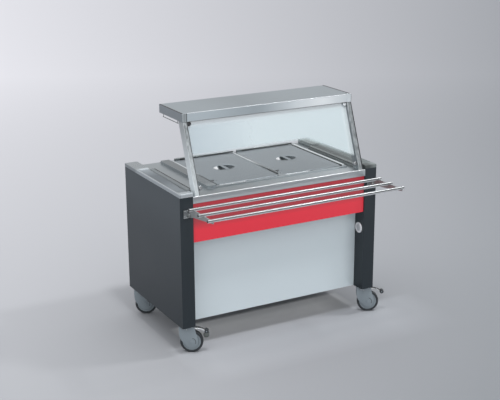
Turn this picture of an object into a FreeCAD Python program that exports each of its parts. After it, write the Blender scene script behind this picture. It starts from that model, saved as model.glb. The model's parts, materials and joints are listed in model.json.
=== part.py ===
"""Heated food trolley: two wells under a leaning sneeze guard, on four swivel casters.

Millimetres, +X along the length, +Y to the operator's side, +Z up, origin on the floor under the
middle of the cabinet.
"""
import FreeCAD, Part
import Sketcher
import os
import re

doc = FreeCAD.newDocument("heated_food_trolley")
sheet = doc.addObject("Spreadsheet::Sheet", "Dims")

DIMENSIONS = {
    # side towers and their caps
    "overall_length": 1220,
    "overall_depth": 720,
    "tower_thickness": 75,
    "tower_bottom": 156,
    "tower_top": 880,
    "tower_wall": 2,
    "cap_height": 20,
    "cap_pocket_depth": 8,
    "cap_wall": 4,
    "rear_block_depth": 160,
    "front_lip_depth": 70,
    "rim_width": 7,
    "rim_step": 3,
    "trough_depth": 8,
    "trough_slope": 14,
    "crest_width": 26,
    "roll_reach": 32,
    "roll_radius": 15,
    # worktop, surround and lids
    "worktop_height": 876,
    "sheet_metal": 2,
    "apron_height": 36,
    "lid_width": 372,
    "lid_depth": 560,
    "lid_height": 9,
    "lid_sheet": 1.5,
    "lid_corner": 18,
    "lid_clearance": 1.5,
    "lid_lap": 8,
    "bay_pitch": 404,
    "bay_offset_x": 62,
    "bay_offset_y": 35,
    "surround_height": 6,
    "surround_left": 76,
    "surround_right": 28,
    "surround_end": 17,
    "ridge_width": 52,
    "ridge_height": 16,
    "grip_length": 120,
    "grip_width": 76,
    "grip_depth": 17,
    "grip_bar_radius": 5,
    "grip_offset_y": 15,
    "notch_length": 40,
    "notch_width": 12,
    "notch_inset": 26,
    # pans and wells
    "pan_width": 325,
    "pan_length": 530,
    "steam_space": 60,
    "pan_lip": 11,
    "pan_sheet": 1.2,
    "pan_corner": 22,
    "pan_seat": 6,
    "well_drop": 26,
    "heater_room": 14,
    "well_sheet": 1.5,
    "well_flange": 12,
    # heaters, insulation and underbody
    "heater_radius": 4,
    "heater_pitch": 80,
    "heater_run": 360,
    "insulation_thickness": 36,
    "insulation_depth": 430,
    "underbody_height": 640,
    "underbody_edge": 24,
    # front and base
    "fascia_lap": 13,
    "fascia_recess": 8,
    "fascia_depth": 18,
    "panel_setback": 86,
    "panel_thickness": 2,
    "base_height": 40,
    # operator's control panel
    "control_setback": 30,
    "control_first_x": -485,
    "control_pitch": 80,
    "thermostat_size": 46,
    "thermostat_depth": 34,
    "knob_radius": 21,
    "knob_height": 18,
    "spindle_radius": 3,
    "running_clearance": 0.05,
    "turning_gap": 0.4,
    "switch_width": 30,
    "switch_height": 22,
    "switch_depth": 26,
    "switch_bezel": 3,
    "rocker_gap": 0.5,
    "rocker_root": 3,
    "rocker_crown": 6,
    "rocker_dip": 1.5,
    "rocker_taper": 0.7,
    "knob_skirt": 6,
    "knob_grip_radius": 17,
    "knob_bar_width": 8,
    "knob_bar_rise": 3,
    "lamp_radius": 6,
    "lens_rim": 2,
    "gland_x": 470,
    "gland_rise": 50,
    "gland_radius": 13,
    "gland_neck_radius": 10,
    "gland_bore": 5,
    # drain
    "drain_offset_y": 222,
    "drain_radius": 11,
    "drain_wall": 2,
    "drain_drop": 44,
    "elbow_wall": 3,
    "valve_standoff": 30,
    "valve_width": 40,
    "valve_length": 46,
    "stem_radius": 4,
    "stem_length": 16,
    "lever_length": 90,
    "lever_width": 16,
    "lever_thickness": 6,
    # parking cup for the mains plug
    "cup_radius": 31,
    "cup_bore": 20,
    "cup_proud": 5,
    "cup_depth": 24,
    "cup_base": 3,
    "cup_from_front": 48,
    "cup_height": 522,
    # guard
    "shelf_length": 1044,
    "shelf_front": 223,
    "shelf_depth": 285,
    "shelf_top": 1284,
    "shelf_height": 45,
    "post_width": 25,
    "post_depth": 50,
    "post_wall": 2,
    "post_toe": 2,
    "post_inset": 2,
    "glass_thickness": 6,
    "glass_gap": 3,
    "glass_setback": 12,
    "glass_bottom": 888,
    "glass_top": 1262,
    "clamp_radius": 12,
    "clamp_length": 24,
    "clamp_rise": 22,
    "clamp_drop": 14,
    "lamp_box_margin": 42,
    "lamp_box_depth": 215,
    "lamp_box_front": 160,
    "lamp_box_bottom": 1224,
    "lamp_box_wall": 3,
    "lamp_box_recess": 40,
    "lamp_tube_radius": 7,
    "lamp_tube_drop": 18,
    # folding tray slide
    "rail_length": 1182,
    "rail_radius": 8.5,
    "rail_wall": 1.5,
    "rail_shift": 8,
    "rail_height": 838,
    "rail_first": 442,
    "rail_pitch": 104,
    "arm_thickness": 6,
    "arm_from_end": 18,
    "arm_tip_height": 12,
    "arm_root_height": 40,
    "arm_overhang": 7,
    "saddle_depth": 5,
    "hinge_forward": 30,
    "hinge_height": 792,
    "hinge_pin_radius": 5,
    "hinge_eye": 12,
    "bracket_height": 44,
    "bracket_width": 44,
    "bracket_plate": 4,
    "ear_thickness": 5,
    "ear_gap": 0.5,
    # casters
    "caster_inset": 57,
    "caster_trail": 36,
    "caster_heading": -29,
    "wheel_radius": 62.5,
    "wheel_width": 30,
    "tyre_thickness": 13,
    "axle_radius": 5,
    "axle_head": 8,
    "plate_length": 86,
    "plate_width": 66,
    "plate_thickness": 4,
    "kingpin_radius": 7,
    "kingpin_head": 11,
    "kingpin_head_height": 3,
    "race_gap": 0.3,
    "crown_radius": 28,
    "crown_height": 10,
    "cheek_gap": 2,
    "cheek_thickness": 4,
    "cheek_boss": 30,
    "cheek_front": 25,
    "cheek_lean": 0.85,
    "axle_spare": 2,
    "hub_recess": 2,
    "hub_boss_radius": 22,
    "hub_end_gap": 0.5,
    "bolt_spacing_x": 48,
    "bolt_spacing_y": 68,
    "bolt_head_radius": 6.5,
    "bolt_head_height": 5,
    "pedal_pivot_x": 10,
    "pedal_pivot_drop": 17,
    "pedal_pin_radius": 3,
    "pedal_reach": 98,
    "pedal_fall": 8,
    "pedal_arm_width": 14,
    "pedal_arm_thickness": 5,
    "pedal_pad_length": 24,
    "pedal_pad_width": 38,
    "pedal_pad_thickness": 9,
}

# Places worked out from the driving dimensions, as expressions on them.
PLACES = {
    "half_length": "overall_length / 2",
    "half_depth": "overall_depth / 2",
    "inner_face": "half_length - tower_thickness",
    "cap_top": "tower_top + cap_height",
    "trough_front": "front_lip_depth - half_depth",
    "trough_rear": "half_depth - rear_block_depth",
    "sheet_under": "worktop_height - sheet_metal",
    "apron_bottom": "worktop_height - apron_height",
    "bay_left": "bay_offset_x - bay_pitch / 2",
    "bay_right": "bay_offset_x + bay_pitch / 2",
    "cut_width": "lid_width - 2 * lid_lap",
    "cut_depth": "lid_depth - 2 * lid_lap",
    "lid_top": "worktop_height + lid_height",
    "surround_x_lo": "bay_left - lid_width / 2 - surround_left",
    "surround_x_hi": "bay_right + lid_width / 2 + surround_right",
    "surround_y_lo": "bay_offset_y - lid_depth / 2 - surround_end",
    "surround_y_hi": "bay_offset_y + lid_depth / 2 + surround_end",
    "seat_height": "worktop_height - well_drop",
    "bath_width": "pan_width - 2 * pan_seat",
    "bath_length": "pan_length - 2 * pan_seat",
    "well_bottom": "underbody_height + insulation_thickness + heater_room",
    "pan_bottom": "well_bottom + steam_space",
    "fascia_bottom": "underbody_height - fascia_lap",
    "gland_height": "underbody_height + gland_rise",
    "drain_height": "underbody_height - drain_drop",
    "control_height": "(underbody_height + apron_bottom) / 2",
    "lamp_rise": "(apron_bottom - control_height) / 2",
    "lamp_box_length": "shelf_length - 2 * lamp_box_margin",
    "heater_height": "well_bottom - heater_radius",
    "drain_y": "bay_offset_y + drain_offset_y",
    "fascia_front": "fascia_recess - half_depth",
    "panel_front": "panel_setback - half_depth",
    "base_top": "tower_bottom + base_height",
    "control_rear": "half_depth - control_setback",
    "control_front": "control_rear - sheet_metal",
    "control_second_x": "control_first_x + control_pitch",
    "switch_x": "control_second_x + control_pitch",
    "valve_front": "drain_y + drain_radius + valve_standoff",
    "shelf_bottom": "shelf_top - shelf_height",
    "shelf_under": "shelf_top - sheet_metal",
    "shelf_lip": "sheet_metal - shelf_front",
    "post_outer": "shelf_length / 2 - post_inset - sheet_metal",
    "post_inner": "post_outer - post_width",
    "post_foot": "post_toe - half_depth",
    "post_lean": "(shelf_lip - post_foot) / (shelf_bottom - worktop_height)",
    "post_span": "post_depth * sqrt(1 + post_lean * post_lean)",
    "glass_half": "post_inner - glass_gap",
    "glass_span": "glass_thickness * sqrt(1 + post_lean * post_lean)",
    "hinge_y": "-half_depth - hinge_forward",
    "rail_last": "rail_first + 2 * rail_pitch",
    "arm_outer": "rail_length / 2 - arm_from_end",
    "arm_inner": "arm_outer - arm_thickness",
    "caster_x": "half_length - tower_thickness / 2",
    "caster_y": "half_depth - caster_inset",
    "plate_under": "tower_bottom - plate_thickness",
    "crown_top": "plate_under - race_gap",
    "crown_under": "crown_top - crown_height",
    "cheek_inner": "wheel_width / 2 + cheek_gap",
    "cheek_outer": "cheek_inner + cheek_thickness",
    "pedal_pivot_z": "plate_under - pedal_pivot_drop",
}

for row, (alias, size) in enumerate(DIMENSIONS.items(), start=1):
    sheet.set("A%d" % row, alias)
    sheet.set("B%d" % row, str(size))
    sheet.setAlias("B%d" % row, alias)
doc.recompute()


def bound(text):
    """Write an expression on the sheet's cells, with every named place opened up."""
    def word(match):
        name = match.group(0)
        if name in PLACES:
            return "(" + bound(PLACES[name]) + ")"
        return "Dims." + name if name in DIMENSIONS else name
    return re.sub(r"[a-z_]+[a-z]", word, str(text))


def bind(item, prop, text):
    """Tie one property of an object to the sheet."""
    item.setExpression(prop, bound(text))


def put(item, x=0, y=0, z=0):
    """Tie an object's position to the sheet."""
    for letter, text in zip("xyz", (x, y, z)):
        bind(item, "Placement.Base." + letter, text)
    return item


def block(name, xs, ys, zs):
    """A box between two expressions on each axis."""
    item = doc.addObject("Part::Box", name)
    for prop, (low, high) in zip(("Length", "Width", "Height"), (xs, ys, zs)):
        bind(item, prop, "(%s) - (%s)" % (high, low))
    return put(item, xs[0], ys[0], zs[0])


def rod(name, radius, length, axis, x, y, z):
    """A cylinder that starts at a point and runs along +X, +Y or +Z."""
    turns = {"x": ((0, 1, 0), 90), "y": ((1, 0, 0), -90), "z": ((0, 0, 1), 0)}
    direction, angle = turns[axis]
    item = doc.addObject("Part::Cylinder", name)
    item.Placement = FreeCAD.Placement(FreeCAD.Vector(), FreeCAD.Rotation(FreeCAD.Vector(*direction),
                                                                          angle))
    bind(item, "Radius", radius)
    bind(item, "Height", length)
    return put(item, x, y, z)


def fuse(name, *items):
    """One solid out of several."""
    item = doc.addObject("Part::MultiFuse", name)
    item.Shapes = list(items)
    item.Refine = True
    return item


def cut(name, base, *tools):
    """The base with every tool taken out of it."""
    item = doc.addObject("Part::Cut", name)
    item.Base = base
    item.Tool = tools[0] if len(tools) == 1 else group(name + "_tools", *tools)
    item.Refine = True
    return item


def group(name, *items):
    """Separate solids kept side by side in one piece."""
    item = doc.addObject("Part::Compound", name)
    item.Links = list(items)
    return item


def rounded(name, item, radius, keep):
    """Round the edges that the test keeps, by a radius of the sheet."""
    doc.recompute()
    size = float(sheet.get(radius))
    result = doc.addObject("Part::Fillet", name)
    result.Base = item
    result.Edges = [(i, size, size) for i, edge in enumerate(item.Shape.Edges, start=1) if keep(edge)]
    return result


def upright(edge):
    """True for a straight vertical edge."""
    if not isinstance(edge.Curve, Part.Line):
        return False
    return abs(edge.tangentAt(edge.FirstParameter).z) > 0.99


def profile(name, plane, points, length, x=0, y=0, z=0):
    """A body padded from a closed outline whose corners are tied to the sheet."""
    body = doc.addObject("PartDesign::Body", name)
    outline = body.newObject("Sketcher::SketchObject", name + "_outline")
    origin = [item for item in body.Origin.OriginFeatures if item.Role == plane][0]
    outline.AttachmentSupport = (origin, "")
    outline.MapMode = "FlatFace"
    doc.recompute()
    rough = [FreeCAD.Vector(*[start_value(part) for part in point], 0) for point in points]
    for i, here in enumerate(rough):
        outline.addGeometry(Part.LineSegment(here, rough[(i + 1) % len(rough)]), False)
    for i in range(len(rough)):
        outline.addConstraint(Sketcher.Constraint("Coincident", i, 2, (i + 1) % len(rough), 1))
    for i, point in enumerate(points):
        for kind, text, value in zip(("DistanceX", "DistanceY"), point, rough[i]):
            row = outline.addConstraint(Sketcher.Constraint(kind, -1, 1, i, 1, value))
            bind(outline, "Constraints[%d]" % row, text)
    pad = body.newObject("PartDesign::Pad", name + "_pad")
    pad.Profile = outline
    bind(pad, "Length", length)
    doc.recompute()
    return put(body, x, y, z)


probe = doc.addObject("Part::Box", "probe")


def start_value(text):
    """The present value of an expression, used to draw an outline before it is tied."""
    put(probe, text)
    doc.recompute([probe])
    return probe.Placement.Base.x


pieces = []


def piece(item, label):
    """Keep an object as one of the trolley's pieces."""
    item.Label = label
    pieces.append(item)
    return item


# Side towers: folded boxes, open at the top under the cap.
def tower(side, x_lo, x_hi):
    shell = block("tower_%s_shell" % side, (x_lo, x_hi), ("-half_depth", "half_depth"),
                  ("tower_bottom", "tower_top"))
    hollow = block("tower_%s_hollow" % side, (x_lo + " + tower_wall", x_hi + " - tower_wall"),
                   ("tower_wall - half_depth", "half_depth - tower_wall"),
                   ("tower_bottom + tower_wall", "tower_top + tower_wall"))
    tools = [hollow]
    if side == "right":
        tools.append(rod("cup_hole", "cup_bore + cup_base", "4 * tower_wall", "x",
                         "inner_face - tower_wall",
                         "cup_from_front - half_depth", "cup_height"))
    piece(cut("tower_" + side, shell, *tools), "side_tower_" + side)


tower("left", "-half_length", "-inner_face")
tower("right", "inner_face", "half_length")


# End caps: a rear block, a front lip and, between them, a shallow trough whose inner side rolls down
# to the worktop as the grip for pushing.
def end_cap(side, sign):
    def across(text):
        return text if sign > 0 else "-(%s)" % text
    outline = [
        (across("half_length"), "tower_top"),
        (across("half_length"), "cap_top"),
        (across("half_length - rim_width"), "cap_top"),
        (across("half_length - rim_width"), "cap_top - rim_step"),
        (across("half_length - rim_width - trough_slope"), "cap_top - trough_depth"),
        (across("inner_face + crest_width"), "cap_top - trough_depth"),
        (across("inner_face"), "cap_top - rim_step"),
        (across("inner_face - roll_reach"), "cap_top - rim_step"),
        (across("inner_face - roll_reach"), "worktop_height"),
        (across("inner_face"), "worktop_height"),
        (across("inner_face"), "tower_top"),
    ]
    roll = profile("cap_%s_roll" % side, "XZ_Plane", outline, "trough_rear - trough_front", 0,
                   "trough_rear", 0)
    x_pair = ("inner_face", "half_length") if sign > 0 else ("-half_length", "-inner_face")
    rear = block("cap_%s_rear" % side, x_pair, ("trough_rear", "half_depth"), ("tower_top", "cap_top"))
    lip = profile("cap_%s_lip" % side, "YZ_Plane",
                  [("-half_depth", "tower_top"), ("trough_front", "tower_top"),
                   ("trough_front", "cap_top - trough_depth"),
                   ("(trough_front - half_depth) / 2", "cap_top"),
                   ("-half_depth", "cap_top")], "tower_thickness", x_pair[0])
    inset = ("%s + cap_wall" % x_pair[0], "%s - cap_wall" % x_pair[1])
    pocket = block("cap_%s_pocket" % side, inset, ("cap_wall - half_depth", "half_depth - cap_wall"),
                   ("tower_top", "tower_top + cap_pocket_depth"))
    whole = cut("cap_%s_whole" % side, fuse("cap_%s_solid" % side, roll, rear, lip), pocket)

    def roll_edge(edge):
        box = edge.BoundBox
        along = isinstance(edge.Curve, Part.Line) and box.XLength < 0.01 and box.ZLength < 0.01
        reach = float(sheet.get("overall_length")) / 2 - float(sheet.get("tower_thickness"))
        return along and abs(box.XMin) < reach - 1 and box.ZMin > float(sheet.get("worktop_height")) + 1
    piece(rounded("cap_" + side, whole, "roll_radius", roll_edge), "end_cap_" + side)


end_cap("left", -1)
end_cap("right", 1)


# Worktop: one folded sheet with an apron front and rear, cut out for the two wells.
def bay_block(name, centre, width, length, zs):
    return block(name, ("%s - (%s) / 2" % (centre, width), "%s + (%s) / 2" % (centre, width)),
                 ("bay_offset_y - (%s) / 2" % length, "bay_offset_y + (%s) / 2" % length), zs)


BAYS = {"left": "bay_left", "right": "bay_right"}
table = block("table_sheet", ("-inner_face", "inner_face"), ("-half_depth", "half_depth"),
              ("apron_bottom", "worktop_height"))
under = block("table_hollow", ("-half_length", "half_length"),
              ("sheet_metal - half_depth", "half_depth - sheet_metal"),
              ("apron_bottom - sheet_metal", "sheet_under"))
openings = [rounded("table_opening_" + side, bay_block("table_cut_" + side, centre, "cut_width",
                                                       "cut_depth",
            ("sheet_under - sheet_metal", "worktop_height + sheet_metal")), "lid_corner", upright)
            for side, centre in BAYS.items()]
piece(cut("table", table, under, *openings), "worktop")

# Surround: raised strips that the lids drop between, with the wide ridge on the left.
def strip(name, xs, ys, height):
    return block("surround_" + name, xs, ys, ("worktop_height", "worktop_height + " + height))


half_bay = "lid_width / 2 + lid_clearance"
PLACES["ridge_edge"] = "surround_x_lo + ridge_width"
PLACES["bay_front"] = "bay_offset_y - lid_depth / 2 - lid_clearance"
PLACES["bay_rear"] = "bay_offset_y + lid_depth / 2 + lid_clearance"
strips = [
    strip("ridge", ("surround_x_lo", "ridge_edge"), ("surround_y_lo", "surround_y_hi"), "ridge_height"),
    strip("front", ("ridge_edge", "surround_x_hi"), ("surround_y_lo", "bay_front"), "surround_height"),
    strip("rear", ("ridge_edge", "surround_x_hi"), ("bay_rear", "surround_y_hi"), "surround_height"),
    strip("left", ("ridge_edge", "bay_left - (%s)" % half_bay), ("bay_front", "bay_rear"),
          "surround_height"),
    strip("middle", ("bay_left + " + half_bay, "bay_right - (%s)" % half_bay), ("bay_front", "bay_rear"),
          "surround_height"),
    strip("right", ("bay_right + " + half_bay, "surround_x_hi"), ("bay_front", "bay_rear"),
          "surround_height"),
]
piece(group("surround", *strips), "deck_frame")


# Wells: a seat for the pan's rim under the worktop's edge, and a bath below it with a drain.
def well(side, centre):
    lip = "2 * well_sheet"
    flange = bay_block("well_%s_flange" % side, centre, "cut_width + 2 * well_flange",
                       "cut_depth + 2 * well_flange", ("sheet_under - well_sheet", "sheet_under"))
    throat = bay_block("well_%s_throat" % side, centre, "cut_width + " + lip, "cut_depth + " + lip,
                       ("seat_height - well_sheet", "sheet_under"))
    bath = bay_block("well_%s_bath" % side, centre, "bath_width + " + lip, "bath_length + " + lip,
                     ("well_bottom", "seat_height"))
    throat_void = bay_block("well_%s_throat_void" % side, centre, "cut_width", "cut_depth",
                            ("seat_height", "worktop_height"))
    bath_void = bay_block("well_%s_bath_void" % side, centre, "bath_width", "bath_length",
                          ("well_bottom + well_sheet", "worktop_height"))
    drain = rod("well_%s_drain" % side, "drain_radius - drain_wall", "4 * well_sheet", "z", centre,
                "drain_y",
                "well_bottom - well_sheet")
    solid = fuse("well_%s_solid" % side, flange, throat, bath)
    voids = [rounded("well_%s_throat_round" % side, throat_void, "lid_corner", upright),
             rounded("well_%s_bath_round" % side, bath_void, "pan_corner", upright)]
    piece(cut("well_" + side, solid, drain, *voids), "well_" + side)


# Pans: a rim that rests on the well's seat and a rounded tub.
def pan(side, centre):
    tub_width = "pan_width - 2 * pan_lip"
    tub_length = "pan_length - 2 * pan_lip"
    rim = rounded("pan_%s_rim" % side, bay_block("pan_%s_rim_plate" % side, centre, "pan_width",
                                                 "pan_length",
                  ("seat_height", "seat_height + pan_sheet")), "lid_corner", upright)
    tub = rounded("pan_%s_tub" % side, bay_block("pan_%s_tub_block" % side, centre, tub_width, tub_length,
                  ("pan_bottom", "seat_height + pan_sheet")), "pan_corner", upright)
    void = rounded("pan_%s_void" % side, bay_block("pan_%s_void_block" % side, centre,
                   tub_width + " - 2 * pan_sheet", tub_length + " - 2 * pan_sheet",
                   ("pan_bottom + pan_sheet", "seat_height + 2 * pan_sheet")), "pan_corner",
                   upright)
    piece(cut("pan_" + side, fuse("pan_%s_solid" % side, rim, tub), void), "pan_" + side)


# Lids: pressed covers with a skirt, a grip dish under a bar and a notch for the spoon.
def lid(side, centre):
    outer = rounded("lid_%s_outer" % side, bay_block("lid_%s_block" % side, centre, "lid_width",
                                                     "lid_depth",
                    ("worktop_height", "lid_top")), "lid_corner", upright)
    void = rounded("lid_%s_void" % side, bay_block("lid_%s_void_block" % side, centre,
                                                   "lid_width - 2 * lid_sheet",
                   "lid_depth - 2 * lid_sheet", ("worktop_height - lid_sheet", "lid_top - lid_sheet")),
                   "lid_corner", upright)

    def dish(name, wall, depth):
        straight = "grip_length - grip_width"
        radius = "grip_width / 2 + (%s)" % wall
        low = "lid_top - (%s)" % depth
        middle = block(name + "_middle", ("%s - (%s) / 2" % (centre, straight),
                                          "%s + (%s) / 2" % (centre, straight)),
                       ("grip_y - (%s)" % radius, "grip_y + (%s)" % radius), (low, "lid_top"))
        ends = [rod(name + end, radius, depth, "z", "%s %s (%s) / 2" % (centre, step, straight), "grip_y",
                    low)
                for end, step in (("_a", "-"), ("_b", "+"))]
        return fuse(name, middle, *ends)
    cup = dish("lid_%s_cup" % side, "lid_sheet", "grip_depth")
    hole = dish("lid_%s_dish" % side, "0", "grip_depth - lid_sheet")
    notch = block("lid_%s_notch" % side,
                  ("%s - lid_width / 2 + notch_inset" % centre,
                   "%s - lid_width / 2 + notch_inset + notch_length" % centre),
                  ("bay_offset_y - lid_depth / 2 - lid_sheet",
                   "bay_offset_y - lid_depth / 2 + notch_width"),
                  ("worktop_height - lid_height", "lid_top + lid_height"))
    pressed = cut("lid_%s_pressed" % side, outer, void, notch)
    piece(cut("lid_" + side, fuse("lid_%s_solid" % side, pressed, cup), hole), "lid_" + side)
    bar = rod("lid_%s_bar" % side, "grip_bar_radius", "grip_width", "y", centre,
              "grip_y - grip_width / 2",
              "lid_top - grip_bar_radius")
    piece(bar, "lid_handle_" + side)


PLACES["grip_y"] = "bay_offset_y + grip_offset_y"
for side, centre in BAYS.items():
    well(side, centre)
    pan(side, centre)
    lid(side, centre)


# Heaters: one hairpin tube pressed to the underside of each bath.
def heater(side, centre):
    runs = [rod("heater_%s_run_%d" % (side, i), "heater_radius", "heater_run", "y",
                "%s + %s * heater_pitch" % (centre, i - 1.5), "bay_offset_y - heater_run / 2",
                "heater_height") for i in range(4)]
    bends = []
    for i in range(3):
        item = doc.addObject("Part::Torus", "heater_%s_bend_%d" % (side, i))
        item.Placement = FreeCAD.Placement(FreeCAD.Vector(), FreeCAD.Rotation(FreeCAD.Vector(0, 0, 1),
                                                                              180 * (i % 2)))
        bind(item, "Radius1", "heater_pitch / 2")
        bind(item, "Radius2", "heater_radius")
        item.Angle3 = 180
        end = "bay_offset_y %s heater_run / 2" % "+-"[i % 2]
        bends.append(put(item, "%s + %s * heater_pitch" % (centre, i - 1), end, "heater_height"))
    return fuse("heater_" + side, *runs, *bends)


piece(group("heater_pair", *[heater(side, centre) for side, centre in BAYS.items()]), "heaters")

# Underbody floor with its upturned edges, and the insulation that lies on it.
floor = block("underbody_tray", ("-inner_face", "inner_face"),
              ("fascia_front + fascia_depth", "control_front"),
              ("underbody_height - sheet_metal", "underbody_height + underbody_edge"))
floor_void = block("underbody_void", ("-half_length", "half_length"),
                   ("fascia_front + fascia_depth + sheet_metal", "control_front - sheet_metal"),
                   ("underbody_height", "underbody_height + 2 * underbody_edge"))
floor_holes = [rod("underbody_hole_" + side, "drain_radius + drain_wall / 2", "4 * sheet_metal", "z",
                   centre,
                   "drain_y", "underbody_height - 2 * sheet_metal") for side, centre in BAYS.items()]
piece(cut("underbody", floor, floor_void, *floor_holes), "underbody_floor")
piece(block("insulation", ("bay_left - cut_width / 2", "bay_right + cut_width / 2"),
            ("bay_offset_y - lid_depth / 2", "bay_offset_y - lid_depth / 2 + insulation_depth"),
            ("underbody_height", "underbody_height + insulation_thickness")), "insulation_board")

# Front: a folded fascia under the apron, and the set-back panel below it.
fascia = block("fascia_block", ("-inner_face", "inner_face"),
               ("fascia_front", "fascia_front + fascia_depth"),
               ("fascia_bottom", "apron_bottom"))
fascia_void = block("fascia_void", ("sheet_metal - inner_face", "inner_face - sheet_metal"),
                    ("fascia_front + sheet_metal", "fascia_front + 2 * fascia_depth"),
                    ("fascia_bottom + sheet_metal", "apron_bottom - sheet_metal"))
piece(cut("fascia", fascia, fascia_void), "front_fascia")
piece(block("panel", ("-inner_face", "inner_face"), ("panel_front", "panel_front + panel_thickness"),
            ("tower_bottom", "underbody_height - sheet_metal")), "front_panel")

# Base shelf: a folded tray, edges down, between the towers.
base = block("base_tray", ("-inner_face", "inner_face"), ("panel_front + panel_thickness",
                                                          "half_depth - sheet_metal"),
             ("tower_bottom", "base_top"))
base_void = block("base_void", ("-half_length", "half_length"),
                  ("panel_front + panel_thickness + sheet_metal", "half_depth - 2 * sheet_metal"),
                  ("tower_bottom - sheet_metal", "base_top - sheet_metal"))
piece(cut("base", base, base_void), "base_shelf")


# Operator's panel: thermostats and their knobs, main switch, pilot lamps and cable gland.
def panel_hole(name, radius, x, z):
    return rod(name, radius, "4 * sheet_metal", "y", x, "control_front - sheet_metal", z)


KNOBS = {"left": "control_first_x", "right": "control_second_x"}
control = block("control_sheet", ("-inner_face", "inner_face"), ("control_front", "control_rear"),
                ("underbody_height - sheet_metal", "apron_bottom"))
control_lip = block("control_lip", ("-inner_face", "inner_face"),
                    ("control_front", "half_depth - sheet_metal"),
                    ("apron_bottom - sheet_metal", "apron_bottom"))
holes = [panel_hole("spindle_hole_" + side, "spindle_radius + running_clearance", x, "control_height")
         for side, x in KNOBS.items()]
holes += [panel_hole("lamp_hole_" + side, "lamp_radius", x, "control_height + lamp_rise") for side,
          x in KNOBS.items()]
holes.append(panel_hole("gland_hole", "gland_neck_radius", "gland_x", "gland_height"))
holes.append(block("switch_hole", ("switch_x - switch_width / 2", "switch_x + switch_width / 2"),
                   ("control_front - sheet_metal", "control_rear + sheet_metal"),
                   ("control_height - switch_height / 2", "control_height + switch_height / 2")))
piece(cut("control", fuse("control_solid", control, control_lip), *holes), "control_panel")


def thermostat(side, x):
    body = block("thermostat_%s_block" % side, ("%s - thermostat_size / 2" % x,
                                                "%s + thermostat_size / 2" % x),
                 ("control_front - thermostat_depth", "control_front"),
                 ("control_height - thermostat_size / 2", "control_height + thermostat_size / 2"))
    bore = rod("thermostat_%s_bore" % side, "spindle_radius + running_clearance", "thermostat_depth", "y",
               x,
               "control_front - thermostat_depth / 2", "control_height")
    return cut("thermostat_" + side, body, bore)


def knob(side, x):
    face = "control_rear + turning_gap"
    skirt = rod("knob_%s_skirt" % side, "knob_radius", "knob_skirt", "y", x, face, "control_height")
    grip = rod("knob_%s_grip" % side, "knob_grip_radius", "knob_height", "y", x, face, "control_height")
    bar = block("knob_%s_bar" % side, ("%s - knob_bar_width / 2" % x, "%s + knob_bar_width / 2" % x),
                (face, face + " + knob_height + knob_bar_rise"),
                ("control_height - knob_grip_radius + rocker_dip",
                 "control_height + knob_grip_radius - rocker_dip"))
    spindle = rod("knob_%s_spindle" % side, "spindle_radius",
                  "sheet_metal + turning_gap + thermostat_depth / 3", "y", x,
                  "control_front - thermostat_depth / 3", "control_height")
    return piece(fuse("knob_" + side, skirt, grip, bar, spindle), "thermostat_knob_" + side)


thermostats = [thermostat(side, x) for side, x in KNOBS.items()]
for side, x in KNOBS.items():
    knob(side, x)
switch_block = block("switch_block", ("switch_x - switch_width / 2", "switch_x + switch_width / 2"),
                     ("control_front - switch_depth", "control_rear"),
                     ("control_height - switch_height / 2", "control_height + switch_height / 2"))
switch_flange = block("switch_flange", ("switch_x - switch_width / 2 - switch_bezel",
                                        "switch_x + switch_width / 2 + switch_bezel"),
                      ("control_rear", "control_rear + switch_bezel"),
                      ("control_height - switch_height / 2 - switch_bezel",
                       "control_height + switch_height / 2 + switch_bezel"))
switch_void = block("switch_void", ("switch_x - switch_width / 2 + switch_bezel",
                                    "switch_x + switch_width / 2 - switch_bezel"),
                    ("control_rear - switch_depth / 2", "control_rear + 2 * switch_bezel"),
                    ("control_height - switch_height / 2 + switch_bezel",
                     "control_height + switch_height / 2 - switch_bezel"))
PLACES["rocker_y"] = "control_rear - switch_bezel"
rocker_bore = rod("rocker_bore", "spindle_radius / 2 + running_clearance", "switch_width - switch_bezel",
                  "x",
                  "switch_x - switch_width / 2 + switch_bezel / 2", "rocker_y", "control_height")
switch_box = cut("switch_box", fuse("switch_solid", switch_block, switch_flange), switch_void,
                 rocker_bore)
piece(group("control_unit_set", *thermostats, switch_box), "control_units")
PLACES["rocker_half"] = "switch_height / 2 - switch_bezel - 2 * rocker_gap"
rocker = profile("rocker_body", "YZ_Plane",
                 [("rocker_y - rocker_root", "control_height - rocker_half * rocker_taper"),
                  ("rocker_y + rocker_crown", "control_height - rocker_half"),
                  ("rocker_y + rocker_crown - rocker_dip", "control_height"),
                  ("rocker_y + rocker_crown", "control_height + rocker_half"),
                  ("rocker_y - rocker_root", "control_height + rocker_half * rocker_taper")],
                 "switch_width - 2 * (switch_bezel + rocker_gap)",
                 "switch_x - switch_width / 2 + switch_bezel + rocker_gap")
rocker_pin = rod("rocker_pin", "spindle_radius / 2", "switch_width - switch_bezel - 2 * rocker_gap", "x",
                 "switch_x - switch_width / 2 + switch_bezel / 2 + rocker_gap", "rocker_y",
                 "control_height")
piece(fuse("rocker", rocker, rocker_pin), "switch_rocker")


def pilot_lamp(side, x):
    z = "control_height + lamp_rise"
    barrel = rod("lamp_%s_barrel" % side, "lamp_radius - running_clearance", "switch_depth + sheet_metal",
                 "y", x,
                 "control_front - switch_depth", z)
    lens = rod("lamp_%s_lens" % side, "lamp_radius + lens_rim", "lamp_radius", "y", x, "control_rear", z)
    return fuse("pilot_" + side, barrel, lens)


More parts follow.
